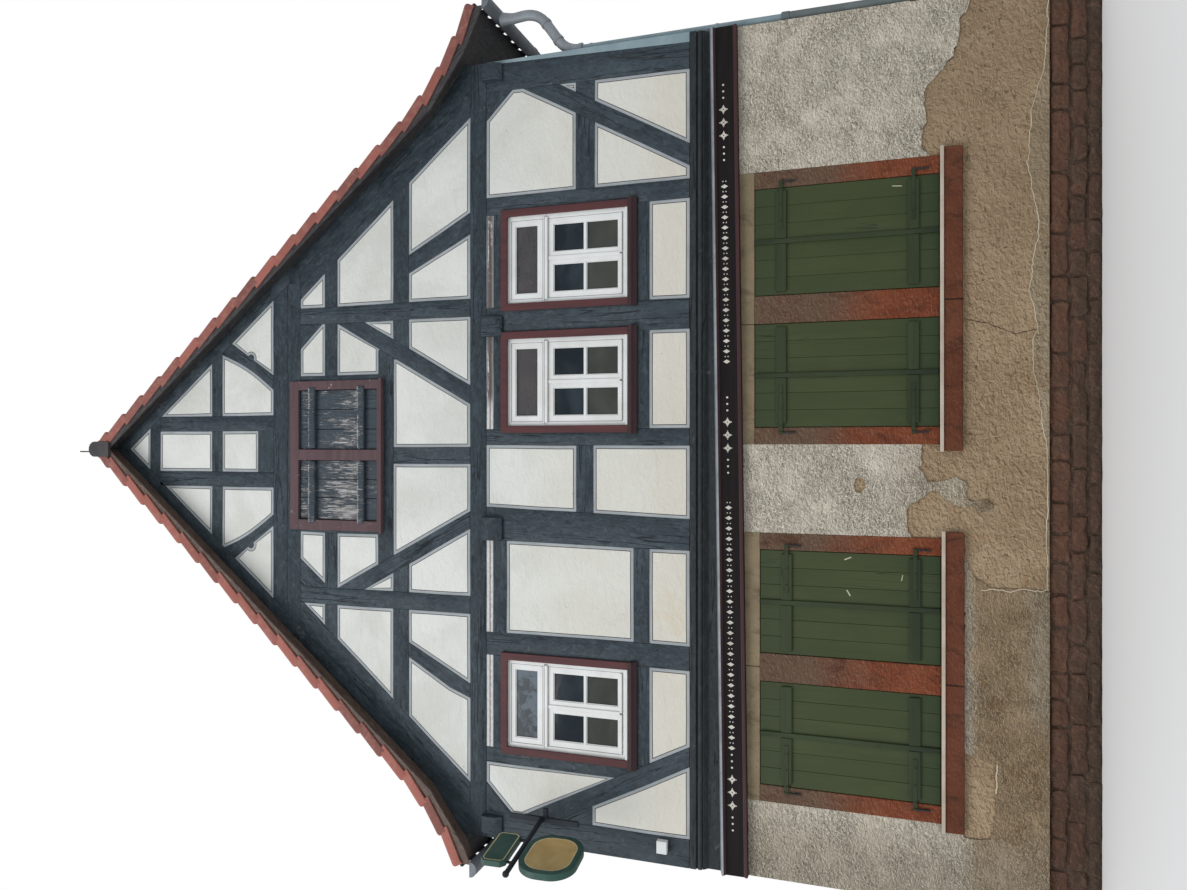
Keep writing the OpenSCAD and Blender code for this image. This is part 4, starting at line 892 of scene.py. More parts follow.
def panelsFrom(node, axis):
    obj = takeNode(node, "", False, 0.0004)

    def isPanel(face):
        edgeLength = sum((obj.data.vertices[a].co - obj.data.vertices[b].co).length
                         for a, b in face.edge_keys)
        heights = [obj.data.vertices[i].co.z for i in face.vertices]
        isSlot = max(heights) - min(heights) < panelSizes["slotHeight"] and isSlotHeight(face)
        return (abs(face.normal[axis]) > 0.9 and face.normal.dot(face.center) > 0
                and 2 * face.area / edgeLength > panelSizes["narrow"] and not isSlot)

    pickFaces(obj, isPanel)
    for width in (panelSizes["band"], panelSizes["line"]):
        bpy.ops.mesh.inset(thickness=0.0002, use_individual=True, use_even_offset=False)
        objectMode()
        for face in obj.data.polygons:
            if face.select:
                drawIn(obj.data, face, width)
        obj.data.update()
        editMode()
    objectMode()
    dress(obj, "panel border borderLine slot", [node])
    # The rings round the inset faces carry the band and the line
    faces = obj.data.polygons
    edgeFaces = {}
    for face in faces:
        for key in face.edge_keys:
            edgeFaces.setdefault(key, []).append(face.index)

    def besides(some):
        return {i for k in some for key in faces[k].edge_keys for i in edgeFaces[key]}

    inner = {face.index for face in faces if face.select}
    line = besides(inner) - inner
    band = besides(line) - inner - line
    for face in faces:
        if face.index in line:
            face.material_index = 2
        elif face.index in band:
            face.material_index = 1
        elif isSlotHeight(face) and face.index not in inner and face.normal.y < -0.9:
            face.material_index = 3
    editAll(obj)
    bpy.ops.mesh.remove_doubles(threshold=0.0003)
    objectMode()
    return obj


waveGable(panelsFrom("gable_panels", 1))
panelsFrom("side_panels", 0)
print("panels done")


# Windows

windowSizes = {"middles": (-2.635, 0.70, 1.97), "half": 0.485, "low": 4.185, "high": 5.545, "stile": 0.075,
               "foot": 0.058, "head": 0.085, "light": 0.368, "transom": 0.046, "sash": 0.070, "bar": 0.022,
               "gap": 0.0015, "frameFace": -4.790, "sashFace": -4.784, "bead": 0.009, "beadBack": 0.008,
               "beadDeep": 0.011, "seal": 0.005, "slats": 12, "slatTurn": 20, "slatPlace": -4.748,
               "slatHalf": (0.003, 0.013), "leafGrowth": (0.009, 0.020, 0.014),
               "lightGrowth": (0.014, 0.0, 0.024), "clear": (0.0, -4.7, 5.1)}


# A flat ring with a hole through it, a little larger than the outline that it follows
def startRing(name, outline, front, back, width):
    x0, x1, z0, z1 = outline
    ring = startBox(name, (x0 - 0.001, front, z0 - 0.001), (x1 + 0.001, back, z1 + 0.001))
    pickFaces(ring, lambda face: abs(face.normal.y) > 0.9)
    bpy.ops.mesh.inset(thickness=width, use_individual=True)
    bpy.ops.mesh.bridge_edge_loops()
    objectMode()
    return ring


# Low and high corners, in x and z, of the three sashes of a window
def sashesOf(middle):
    w = windowSizes
    inside = w["half"] - w["stile"]
    light = w["high"] - w["head"] - w["light"]
    lower = (w["low"] + w["foot"], light - w["transom"])
    return [(middle - inside, middle - w["gap"], *lower), (middle + w["gap"], middle + inside, *lower),
            (middle - inside, middle + inside, light, w["high"] - w["head"])]


def panesOf(sash, divided, grown=True):
    x0, x1, z0, z1 = sash
    member, bar = windowSizes["sash"], windowSizes["bar"]
    x0, x1, z0, z1 = x0 + member, x1 - member, z0 + member, z1 - member
    wider, lower, upper = windowSizes["leafGrowth" if divided else "lightGrowth"] if grown else (0, 0, 0)
    half = (z1 - z0 - bar) / 2
    if not divided:
        return [(x0 - wider, x1 + wider, z0 - lower, z1 + upper)]
    return [(x0 - wider, x1 + wider, z0 - lower, z0 + half), (x0 - wider, x1 + wider, z1 - half, z1 + upper)]


# The openings of the sashes, and the panes in them, are made a little wider than they are drawn
def growPanes(obj):
    near = 0.0015
    for middle in windowSizes["middles"]:
        for k, sash in enumerate(sashesOf(middle)):
            panes = panesOf(sash, k < 2, False)
            x0, x1, low, high = *panes[0][:3], panes[-1][3]
            wider, lower, upper = windowSizes["leafGrowth" if k < 2 else "lightGrowth"]
            for axis, place, shift in ((0, x0, -wider), (0, x1, wider), (2, low, -lower), (2, high, upper)):
                def isEdge(co):
                    return (abs(co[axis] - place) < near and x0 - wider - near < co.x < x1 + wider + near
                            and low - near < co.z < high + near)
                moveVerts(obj, isEdge, (shift, 0, 0) if axis == 0 else (0, 0, shift))


def windowTrim():
    w = windowSizes
    beads, shadowGaps, bars, slats = [], [], [], []
    inside = w["half"] - w["stile"]
    frame, sash = w["frameFace"], w["sashFace"]
    for number, middle in enumerate(w["middles"]):
        sashes = sashesOf(middle)
        for k, outline in enumerate(sashes):
            # A grey ring round each sash stands in for the shadow gap between sash and frame, as painted
            # shade
            shadowGaps.append(startRing("seal", outline, sash - 0.001, sash + 0.004, w["seal"]))
            front = sash + w["beadBack"]
            for pane in panesOf(outline, k < 2):
                beads.append(startRing("bead", pane, front, front + w["beadDeep"], w["bead"]))
        low, high, light = *sashes[0][2:], sashes[2][2]
        top, foot = high + w["transom"], w["low"] + 0.004
        # Cover strip on the meeting stiles, mouldings of the transom, drip bars on frame and sashes
        for x, half, face, proud, back, z0, z1 in (
                (middle, 0.019, sash, 0.012, 0.002, low + 0.03, high - 0.004),
                (middle, inside + 0.012, frame, 0.020, 0.01, high + 0.002, top - 0.012),
                (middle, inside + 0.018, frame, 0.028, 0.01, top - 0.012, top),
                *[((x0 + x1) / 2, (x1 - x0) / 2 - 0.006, sash, 0.022, 0.002, low + 0.006, low + 0.030)
                  for x0, x1, _, _ in sashes[:2]],
                (middle, w["half"] - 0.004, frame, 0.024, 0.004, foot, foot + 0.026),
                (middle, inside - 0.006, sash, 0.014, 0.002, light + 0.010, light + 0.028)):
            bars.append(startBox("bar", (x - half, face - proud, z0), (x + half, face + back, z1)))
        if number:
            x0, x1, z0, z1 = panesOf(sashes[2], False)[0]
            thick, wide = w["slatHalf"]
            for k in range(w["slats"]):
                slats.append(startBox("slat", (x0 - 0.004, -thick, -wide), (x1 + 0.004, thick, wide)))
                place = Matrix.Translation((0, w["slatPlace"], z0 + (k + 0.5) * (z1 - z0) / w["slats"]))
                slats[-1].data.transform(place @ Matrix.Rotation(radians(w["slatTurn"]), 4, "X"))
    finishPiece(joinAll("windowBeads", beads), "white", 0.002, 1)
    finishPiece(joinAll("windowMouldings", bars), "white", 0.006, 3)
    finishPiece(joinAll("windowSeals", shadowGaps), "seal")
    finishPiece(joinAll("transomSlats", slats), "slats", 0.0015, 1)


finishNode("window_frames", "white", 0.005)
sashes = takeNode("window_sashes")
growPanes(sashes)
finishPiece(sashes, "white", 0.004, replaced=["window_sashes"])
windowTrim()
panes = takeNode("window_glass", "windowPanes")
growPanes(panes)
dress(panes, "glass clearGlass", ["window_glass"])
x, y, z = windowSizes["clear"]
secondFinish(panes, lambda face: face.center.x > x and face.center.y < y and face.center.z > z)
for node, finish, edge in (("window_architraves", "oxide", 0.006), ("window_sills", "sillPaint", 0.008),
                           ("hatch_frame", "hatchOxide", 0.005)):
    finishNode(node, finish, edge, 2, (layGrain,))


# Hatch: each leaf of three old boards on two worn battens that lap on to the frame

hatch = {"leaves": ((-0.787, -0.121, -1), (0.002, 0.667, 1)), "low": 7.055, "high": 8.065, "front": -4.796,
         "thick": 0.026, "gap": 0.006, "battens": (7.208, 7.848), "battenHigh": 0.088, "battenFront": -4.842,
         "inset": 0.012, "lap": 0.045, "wear": 0.006}
boards, battens = [], []
for x0, x1, side in hatch["leaves"]:
    widths = [draw.uniform(0.85, 1.15) for _ in range(3)]
    x = x0
    for width in widths:
        wide = (x1 - x0) * width / sum(widths)
        boards.append(startBox("board", (x + hatch["gap"] / 2, hatch["front"], hatch["low"]),
                               (x + wide - hatch["gap"] / 2, hatch["front"] + hatch["thick"], hatch["high"])))
        x += wide
    low = x0 + hatch["inset"] - (hatch["lap"] if side < 0 else 0)
    high = x1 - hatch["inset"] + (hatch["lap"] if side > 0 else 0)
    for z in hatch["battens"]:
        battens.append(startBox("batten", (low, hatch["battenFront"], z),
                                (high, hatch["front"] + 0.004, z + hatch["battenHigh"])))
finishPiece(joinAll("hatchLeaves", boards), "hatch", 0.003, 2, (layGrain,), ["hatch_leaves"])
battens = joinAll("hatchBattens", battens)
softEdges(battens, 0.010, 3)
cutGrid(battens, 0, -0.85, 0.75, 0.06)
layGrain(battens)
roughen(battens, hatch["wear"], 14.0)
dress(battens, "hatch")
print("windows done")


# Fascia under the jetty, with white ornament: rows of dots, small cross figures and chains of lozenges

ornament = {"face": -4.8, "height": 3.19, "tilt": 0.75, "proud": 0.002, "dot": 0.010, "petal": 0.013,
            "arm": 0.018, "tip": 2.1, "lozenge": (0.020, 0.034), "bead": (0.006, 0.049, 0.014),
            "figureGap": 0.125, "dotGap": 0.062, "dotStart": 0.05, "chainGap": 0.098,
            "groups": (-3.275, 0.145, 3.145), "chains": ((-2.90, -0.50), (0.80, 2.58))}
fascia = finishNode("fascia_board", "fascia moulding", 0.003, 2, (layGrain,))
secondFinish(fascia, lambda face: face.center.y < ornament["face"] - 0.003)
finishNode("fascia_flashing", "zinc moulding", 0.003, 2, (layGrain,))


def ornamentModel(kind):
    parts = []

    def rod(radius, x, z, sides):
        parts.append(startRod(kind, radius, ornament["proud"] * 2, (x, 0, z), (pi / 2, 0, 0), sides))

    if kind == "dot":
        rod(ornament["dot"], 0, 0, 12)
    elif kind == "cross":
        for k in range(4):
            across, up = ornament["arm"] * cos(pi / 2 * k), ornament["arm"] * sin(pi / 2 * k)
            rod(ornament["petal"], across, up, 12)
            rod(ornament["petal"] * 0.4, across * ornament["tip"], up * ornament["tip"], 8)
    else:
        rod(1.0, 0, 0, 4)
        parts[0].scale = (ornament["lozenge"][0], 1, ornament["lozenge"][1])
        applyPlace(parts[0])
        radius, across, up = ornament["bead"]
        rod(radius, across, -up, 8)
        rod(radius, across, up, 8)
    return joinAll(kind, parts)


def ornamentRow():
    models = {kind: ornamentModel(kind) for kind in ("dot", "cross", "lozenge")}
    rise = sin(radians(ornament["tilt"]))
    made = []

    def put(kind, x):
        place = Matrix.Translation((x, ornament["face"], ornament["height"] + x * rise))
        made.append(copyOf(models[kind], kind, place))

    for middle in ornament["groups"]:
        for k in (-1, 0, 1):
            put("cross", middle + k * ornament["figureGap"])
            away = ornament["figureGap"] + ornament["dotStart"] + (k + 2) * ornament["dotGap"]
            put("dot", middle - away)
            put("dot", middle + away)
    for low, high in ornament["chains"]:
        count = int((high - low) / ornament["chainGap"])
        for k in range(count):
            put("lozenge", low + (k + 0.5) * (high - low) / count)
    dropObjects(*models.values())
    return joinAll("fasciaOrnament", made)


dress(ornamentRow(), "ornament")
print("fascia done")


# Ground storey

wall = dress(takeNode("ground_wall_front"), "barePlaster roughcast", ["ground_wall_front"])
secondFinish(wall, lambda face: abs(face.normal.x) > 0.9 and abs(face.center.x) > 4.0)
for node in ("ground_wall_left", "ground_wall_right", "ground_wall_rear"):
    dressNode(node, "roughcast")


# The plaster coat is cut along a grid, then its face gets a relief and its broken edges are ragged

coat = {"across": (-3.98, 3.98), "up": (0.42, 2.99), "gap": 0.045, "relief": 0.004, "scale": 13.0,
        "ragged": 0.026, "raggedScale": 19.0, "keep": 0.03, "below": 1.75, "above": 0.43,
        "straight": (-4.0, -3.327, -3.185, -2.194, -1.933, -0.942, -0.799, 0.072, 0.214, 1.205, 1.466, 2.492,
                     2.632, 4.0)}


def nearStraight(co):
    return (min(abs(co.x - x) for x in coat["straight"]) < coat["keep"] or co.z > coat["below"]
            or co.z < coat["above"])


def coatRelief(obj):
    cutGrid(obj, 0, *coat["across"], coat["gap"])
    cutGrid(obj, 2, *coat["up"], coat["gap"])
    tidyMesh(obj, 0.0002)
    mesh = obj.data
    edges = {i for face in mesh.polygons if abs(face.normal.y) < 0.5 for i in face.vertices}
    front = min(vert.co.y for vert in mesh.vertices)
    for vert in mesh.vertices:
        co = vert.co
        if co.y < front + 0.002 and vert.index not in edges:
            bump = noise.noise(co * coat["scale"]) + 0.5 * noise.noise(co * coat["scale"] * 2.3)
            co.y += bump * coat["relief"]
        elif vert.index in edges and not nearStraight(co):
            shift = noise.noise_vector(Vector((co.x, 0, co.z)) * coat["raggedScale"])
            co.x += shift.x * coat["ragged"]
            co.z += shift.z * coat["ragged"]
    mesh.update()
    smoothBy(obj, 40)


obj = takeNode("front_plaster_coat", "roughcastCoat")
coatRelief(obj)
dress(obj, "roughcast", ["front_plaster_coat"])


# Thin cement skirt at the foot of the wall, whose upper edge has broken away, and thin lines in the plaster

skirt = {"face": -4.726, "thick": 0.006, "foot": 0.412, "edge": 0.006,
         "top": ((-1.206, 0.425), (-0.985, 0.429), (-0.76, 0.436), (-0.559, 0.424), (-0.134, 0.425),
                 (0.079, 0.438), (0.187, 0.457), (0.262, 0.474), (0.47, 0.490), (0.679, 0.529),
                 (0.948, 0.545), (1.058, 0.505), (1.23, 0.53), (1.397, 0.569), (1.52, 0.548), (1.708, 0.537),
                 (1.86, 0.50), (1.994, 0.489), (2.199, 0.537), (2.36, 0.555), (2.518, 0.59), (2.56, 0.572),
                 (2.784, 0.565), (3.049, 0.537), (3.18, 0.49), (3.306, 0.457), (3.60, 0.432), (3.99, 0.417)),
         "seam": ((0.419, -1.211), (0.523, -1.225), (0.60, -1.208), (0.717, -1.235), (0.835, -1.22),
                  (0.955, -1.239)),
         "mark": ((-3.017, 0.838), (-2.89, 0.832), (-2.756, 0.831)),
         "crack": ((1.090, 1.178), (0.864, 1.105), (0.679, 1.021), (0.497, 1.058)),
         # Unevenness, width, front and back of the thin lines
         "seamSizes": (0.014, 0.007, -0.016, 0.001), "crackSizes": (0.012, 0.004, -0.001, 0.002),
         "markSizes": (0.010, 0.010, -0.018, -0.006), "steps": 8, "topUneven": 0.012, "topSteps": 9,
         "lip": 0.003}


# A thin plate between two broken lines
def startPlate(name, upper, lower, front, back):
    last = len(upper) - 1
    plate = startGrid(name, last, 1)
    for vert in plate.data.vertices:
        x, z = (upper if vert.co.y > 0 else lower)[round((vert.co.x + 1) / 2 * last)]
        vert.co = (x, skirt["face"] + front, z)
    plate.data.update()
    applyModifier(plate, "SOLIDIFY", thickness=back - front, offset=-1)
    tidyMesh(plate)
    return plate


def ragged(line, steps, amount):
    points = []
    for (x0, z0), (x1, z1) in zip(line, line[1:]):
        for k in range(steps):
            t = k / steps
            place = Vector((x0 + (x1 - x0) * t, z0, 3.0))
            shift = noise.noise(place * 9.0) + noise.noise(place * 31.0) * 0.8
            points.append((x0 + (x1 - x0) * t, z0 + (z1 - z0) * t + shift * amount))
    points.append(line[-1])
    return points


# A strip that runs up the wall, given by its heights first
def upright(name, line, amount, wide, front, back):
    line = [(x, z) for z, x in ragged(line, skirt["steps"], amount)]
    return startPlate(name, line, [(x + wide, z) for x, z in line], front, back)


# A strip along the wall with its width below its line
def level(name, line, wide, front, back):
    return startPlate(name, line, [(x, z - wide) for x, z in line], front, back)


line = ragged(skirt["top"], skirt["topSteps"], skirt["topUneven"])
plate = startPlate("wallSkirt", line, [(x, skirt["foot"]) for x, z in line], -skirt["thick"], 0.002)
dress(plate, "skirt")
line = [(x, z + skirt["lip"]) for x, z in line]
amount, *sizes = skirt["markSizes"]
edges = [level("skirtEdge", line, skirt["edge"], -skirt["thick"] - skirt["lip"], 0.001),
         upright("coatSeam", skirt["seam"], *skirt["seamSizes"]),
         level("whiteMark", ragged(skirt["mark"], skirt["steps"], amount), *sizes)]
dress(joinAll("plasterEdges", edges), "plasterEdge")
dress(upright("plasterCrack", skirt["crack"], *skirt["crackSizes"]), "gap")
for node, finish, slot, edge, name in (("stone_lintels", "lintel", "pale_stone", 0.008, ""),
                                       ("stone_jambs", "jamb", "red_stone", 0.008, ""),
                                       ("stone_sills", "sill", "sill_stone", 0.012, ""),
                                       ("sill_drip_strips", "drip", "trim_paint", 0.004, "dripStrips")):
    finishNode(node, finish, edge, 3, (), name)


# Open joints in the middle of the long sills

joints = {"sills": (-2.085, 1.345), "half": 0.006, "face": -4.7868, "deep": 0.03, "low": 1.100, "high": 1.262}
back = joints["face"] + joints["deep"]
gaps = joinAll("sillJoints", [startBox("joint", (x - joints["half"], joints["face"], joints["low"]),
                                       (x + joints["half"], back, joints["high"])) for x in joints["sills"]])
cutGrid(gaps, 2, joints["low"], joints["high"], 0.02)
roughen(gaps, 0.003, 30.0)
dress(gaps, "gap")


# Shutters: three boards to a leaf with a groove between them

shutterSizes = {"boards": 3, "groove": 0.002, "edge": 0.002, "uneven": 0.002, "bolts": 3, "bolt": 0.006}


def boardsOfLeaf(low, high):
    count, groove = shutterSizes["boards"], shutterSizes["groove"] / 2
    wide = (high[0] - low[0]) / count
    made = []
    for k in range(count):
        left = low[0] + k * wide + (groove if k else 0)
        right = low[0] + (k + 1) * wide - (groove if k < count - 1 else 0)
        back = draw.uniform(0, shutterSizes["uneven"])
        made.append(startBox("board", (left, low[1] + back, low[2]), (right, high[1], high[2])))
    return made


leaves = takeNode("shutter_leaves", "leafGuide")
boards = []
for member in looseMembers(leaves.data):
    boards += boardsOfLeaf(*cornersOf(leaves.data, member))
dropObjects(leaves)
shutters = finishPiece(joinAll("shutterBoards", boards), "shutter", shutterSizes["edge"], 1,
                       (layGrain, layTint), ["shutter_leaves"])
chips = {"strips": ((-1.344, 2.065, -1.291, 2.096, 0.012), (-1.012, 2.118, -0.986, 2.056, 0.012),
                    (-1.184, 1.619, -1.130, 1.607, 0.008), (2.409, 1.700, 2.401, 1.615, 0.008)),
         "proud": 0.003, "sunk": 0.004}
face = min(vert.co.y for vert in shutters.data.vertices)
strips = []
for x0, z0, x1, z1, wide in chips["strips"]:
    span = Vector((x1 - x0, 0, z1 - z0))
    half = span.length / 2
    strip = startBox("chip", (-half, -chips["proud"], -wide / 2), (half, chips["sunk"], wide / 2))
    turn = Matrix.Rotation(-atan2(span.z, span.x), 4, "Y")
    strip.data.transform(Matrix.Translation(((x0 + x1) / 2, face, (z0 + z1) / 2)) @ turn)
    strips.append(strip)
finishPiece(joinAll("shutterChips", strips), "chip", 0.001, 1)
finishNode("shutter_battens", "batten", 0.006, 2, (layGrain, layTint))
straps = takeNode("strap_hinges")
softEdges(straps, 0.003)
bolts = []
for member in looseMembers(straps.data):
    low, high = cornersOf(straps.data, member)
    for k in range(shutterSizes["bolts"]):
        x = low[0] + (high[0] - low[0]) * (k + 0.5) / shutterSizes["bolts"]
        middle = (x, low[1] - 0.001, (low[2] + high[2]) / 2)
        bolts.append(startRod("bolt", shutterSizes["bolt"], 0.008, middle, (pi / 2, 0, 0), 8))
finishPiece(joinAll("strapBolts", bolts), "iron", 0.0015, 1)
finishPiece(straps, "batten", marks=(layGrain, layTint), replaced=["strap_hinges"])
dressNode("hinge_pins", "iron")


# Entrance door on the left side: frame, five boards, three ledges and iron fittings

door = {"low": (-3.952, -3.757, 0.416), "high": (-3.902, -2.843, 2.488), "boards": 5, "gap": 0.004,
        "ledges": (0.56, 1.42, 2.30), "ledgeHigh": 0.12, "ledgeDeep": 0.018, "inset": 0.035,
        "handle": (-2.93, 1.44), "plate": (0.018, 0.10, 0.08), "spindle": (0.008, 0.026),
        "lever": (0.007, 0.11), "strap": 0.018, "strapLong": (0.01, 0.62)}
doorFrame = takeNode("entrance_door")
dropVerts(doorFrame, lambda co: door["low"][0] - 0.01 < co.x < door["high"][0] + 0.01)
finishPiece(doorFrame, "batten", 0.006, 2, (layGrain, layTint), ["entrance_door"])
(face, near, foot), (back, far, head) = door["low"], door["high"]
wide = (far - near) / door["boards"]
parts = [startBox("board", (face, near + k * wide + door["gap"] / 2, foot),
                  (back, near + k * wide + wide - door["gap"] / 2, head)) for k in range(door["boards"])]
parts += [startBox("ledge", (face - door["ledgeDeep"], near + door["inset"], z - door["ledgeHigh"] / 2),
                   (face + 0.004, far - door["inset"], z + door["ledgeHigh"] / 2)) for z in door["ledges"]]
finishPiece(joinAll("doorLeaf", parts), "shutter", 0.004, 2, (layGrain, layTint))
y, z = door["handle"]
half, down, up = door["plate"]
parts = [startBox("plate", (face - 0.006, y - half, z - down), (face + 0.002, y + half, z + up)),
         startRod("spindle", *door["spindle"], (face - 0.016, y, z), (0, pi / 2, 0)),
         startRod("lever", *door["lever"], (face - 0.026, y - 0.045, z), (pi / 2, 0, 0))]
front = face - door["ledgeDeep"]
parts += [startBox("strap", (front - 0.005, near + door["strapLong"][0], level - door["strap"]),
                   (front + 0.002, near + door["strapLong"][1], level + door["strap"]))
          for level in door["ledges"][::2]]
finishPiece(joinAll("doorIron", parts), "iron", 0.0015, 1)
print("ground storey done")


# Plinth of rough stones in three courses, on a core of mortar

plinthSizes = {"courses": (0.105, 0.145, 0.160), "lengths": (0.26, 0.36, 0.46), "spread": (0.8, 1.2),
               "shortest": 0.2, "depth": 0.17, "joint": 0.012, "round": 0.030, "edge": 0.03,
               "cuts": (0.065, 0.045), "rough": 0.020, "proud": 0.012, "coreBack": 0.014, "sway": 0.028,
               "lean": 0.030, "top": 0.408}


def roughStone(length, height):
    stone = startBox("stoneTemplate", (0, 0, 0), (length, plinthSizes["depth"], height))
    softEdges(stone, plinthSizes["round"])
    for axis, size, gap in zip((0, 2), (length, height), plinthSizes["cuts"]):
        cutGrid(stone, axis, plinthSizes["edge"], size - plinthSizes["edge"], gap)
    return stone


def courseLevel(row, s):
    level = sum(plinthSizes["courses"][:row])
    if row in (0, 3):
        return level
    return level + plinthSizes["sway"] * noise.noise(Vector((s * 0.9, row * 7.3, 2)))


def plinthSide(corner, along, span, offset):
    made = []
    joint = plinthSizes["joint"]
    outward = Vector((along.y, -along.x, 0))
    for row, height in enumerate(plinthSizes["courses"]):
        s = 0.0
        while s < span - 0.02:
            length = draw.choice(plinthSizes["lengths"]) * draw.uniform(*plinthSizes["spread"])
            if span - s - length < plinthSizes["shortest"]:
                length = span - s
            size = min(range(3), key=lambda k: abs(plinthSizes["lengths"][k] - length))
            low = courseLevel(row, s + offset + length / 2)
            high = courseLevel(row + 1, s + offset + length / 2)
            place = corner + along * (s + joint / 2) + outward * draw.uniform(0, plinthSizes["proud"])
            matrix = Matrix(((along.x, -outward.x, 0, place.x), (along.y, -outward.y, 0, place.y),
                             (0, 0, 1, low + joint / 2), (0, 0, 0, 1)))
            tall = (high - low - joint) / (height - joint)
            matrix = matrix @ Matrix.Diagonal(((length - joint) / plinthSizes["lengths"][size], 1, tall, 1))
            stone = copyOf(stoneTemplates[size, row], "stone", matrix)
            skew = draw.uniform(-1, 1) * plinthSizes["lean"]
            for vert in stone.data.vertices:
                vert.co += along * (vert.co.z - low - height / 2) * skew * 3
            made.append(stone)
            s += length
    return made


stoneTemplates = {(k, row): roughStone(length, height - plinthSizes["joint"])
                  for k, length in enumerate(plinthSizes["lengths"])
                  for row, height in enumerate(plinthSizes["courses"])}
low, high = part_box("plinth")
edgeGap = plinthSizes["proud"] + 0.004
low = Vector((low.x + edgeGap, low.y + edgeGap, 0))
high = Vector((high.x - edgeGap, high.y - edgeGap, 0))
wide, deep = high.x - low.x, high.y - low.y
stones = []
for x, y, along, span, offset in (
        (low.x, low.y, (1, 0, 0), wide, 0), (high.x, low.y, (0, 1, 0), deep, 20),
        (high.x, high.y, (-1, 0, 0), wide, 40), (low.x, high.y, (0, -1, 0), deep, 60)):
    stones += plinthSide(Vector((x, y, 0)), Vector(along), span, offset)
dropObjects(*stoneTemplates.values())
plinthStones = joinAll("plinthStones", stones)
layTint(plinthStones)
roughen(plinthStones, plinthSizes["rough"], 8.0)
roughen(plinthStones, plinthSizes["rough"] * 0.4, 23.0)
for vert in plinthStones.data.vertices:
    vert.co.z = min(max(vert.co.z, 0.0), plinthSizes["top"])
smoothBy(plinthStones, 60)
dress(plinthStones, "plinth")
core = takeNode("plinth", "plinthCore")
for axis, side in ((0, 1), (0, -1), (1, 1), (1, -1)):
    limit = (high if side > 0 else low)[axis] - side * 0.02
    shift = [0, 0, 0]
    shift[axis] = -side * (plinthSizes["coreBack"] + edgeGap)
    moveVerts(core, lambda co: (co[axis] - limit) * side > 0, shift)
dress(core, "mortar", ["plinth"])
print("plinth done:", len(stones), "stones")


# Roof tiles in courses over a thin deck, on both slopes

roof = {"ridge": (0.0, 10.8986), "flare": (3.57, 6.49), "bend": (4.11, 6.0681), "eaveRight": (4.595, 5.8316),
        "eaveLeft": (4.31, 5.9706), "front": -5.02, "back": 5.02, "across": 50, "gauge": 0.347, "lap": 0.06,
        "thick": 0.012, "sink": 0.034, "headUp": 0.004, "tailUp": 0.022,
        "wave": (0.020, 0.008, 0.001, 0.0, 0.0, 0.004, 0.016, 0.026, 0.020)}
tileWide = (roof["back"] - roof["front"]) / roof["across"]
tileLong = roof["gauge"] + roof["lap"]


def slopePoint(line, s):
    for a, b in zip(line, line[1:]):
        span = (b - a).length
        if s <= span or b == line[-1]:
            return a + (b - a) * (s / span)
        s -= span


def modelCourse():
    steps = len(roof["wave"]) - 1
    tile = startGrid("tileCourse", steps, 1, 1)
    tile.scale = (tileWide, tileLong, 1)
    applyPlace(tile)
    for k, up in enumerate(roof["wave"]):
        x = -tileWide / 2 + tileWide * k / steps
        moveVerts(tile, lambda co: abs(co.x - x) < 0.001, (0, 0, up))
    applyModifier(tile, "SOLIDIFY", thickness=roof["thick"], offset=-1)
    applyModifier(tile, "ARRAY", count=roof["across"], use_relative_offset=False,
                  use_constant_offset=True, constant_offset_displace=(tileWide, 0, 0))
    tile.data.transform(Matrix.Translation((tileWide / 2, 0, 0)))
    smoothBy(tile, 50)
    return tile


# The verge tile turns over the end of the roof with a round shoulder, its lower end is wider and higher
verge = {"outer": ((0.010, -0.074), (0.014, -0.064), (0.015, -0.020), (0.019, 0.000), (0.017, 0.018),
                   (0.008, 0.031), (-0.008, 0.034), (-0.024, 0.026), (-0.036, 0.012)),
         "inner": ((-0.004, -0.072), (-0.004, -0.058), (-0.003, -0.020), (-0.002, -0.004), (-0.005, 0.006),
                   (-0.012, 0.012), (-0.018, 0.010), (-0.027, 0.004), (-0.038, 0.000)),
         "tailOut": 0.006, "tailUp": 0.014, "headUp": -0.008, "nose": 0.006, "frontGap": 0.002,
         "backGap": 0.024, "round": ((0.022, 0.002, 0.004), (0.014, 0.006, 0.010))}


def modelVerge(edge, side):
    steps = len(verge["outer"]) - 1
    tile = startGrid("vergeTile", steps, 1)
    for vert in tile.data.vertices:
        out, up = verge["outer" if vert.co.y > 0 else "inner"][round((vert.co.x + 1) / 2 * steps)]
        vert.co = (edge + side * out, tileLong / 2, up + verge["headUp"])
    tile.data.update()
    pickFaces(tile, lambda face: True)
    bpy.ops.mesh.extrude_region_move(TRANSFORM_OT_translate={"value": (0, -tileLong, 0)})
    back = sum(step[0] for step in verge["round"])
    bpy.ops.transform.translate(value=(side * verge["tailOut"], back, verge["tailUp"] - verge["headUp"]))
    for along, inwards, down in verge["round"]:
        bpy.ops.mesh.extrude_region_move(TRANSFORM_OT_translate={"value": (-side * inwards, -along, -down)})
    tidyMesh(tile)
    softEdges(tile, verge["nose"], 2, 50)
    return tile


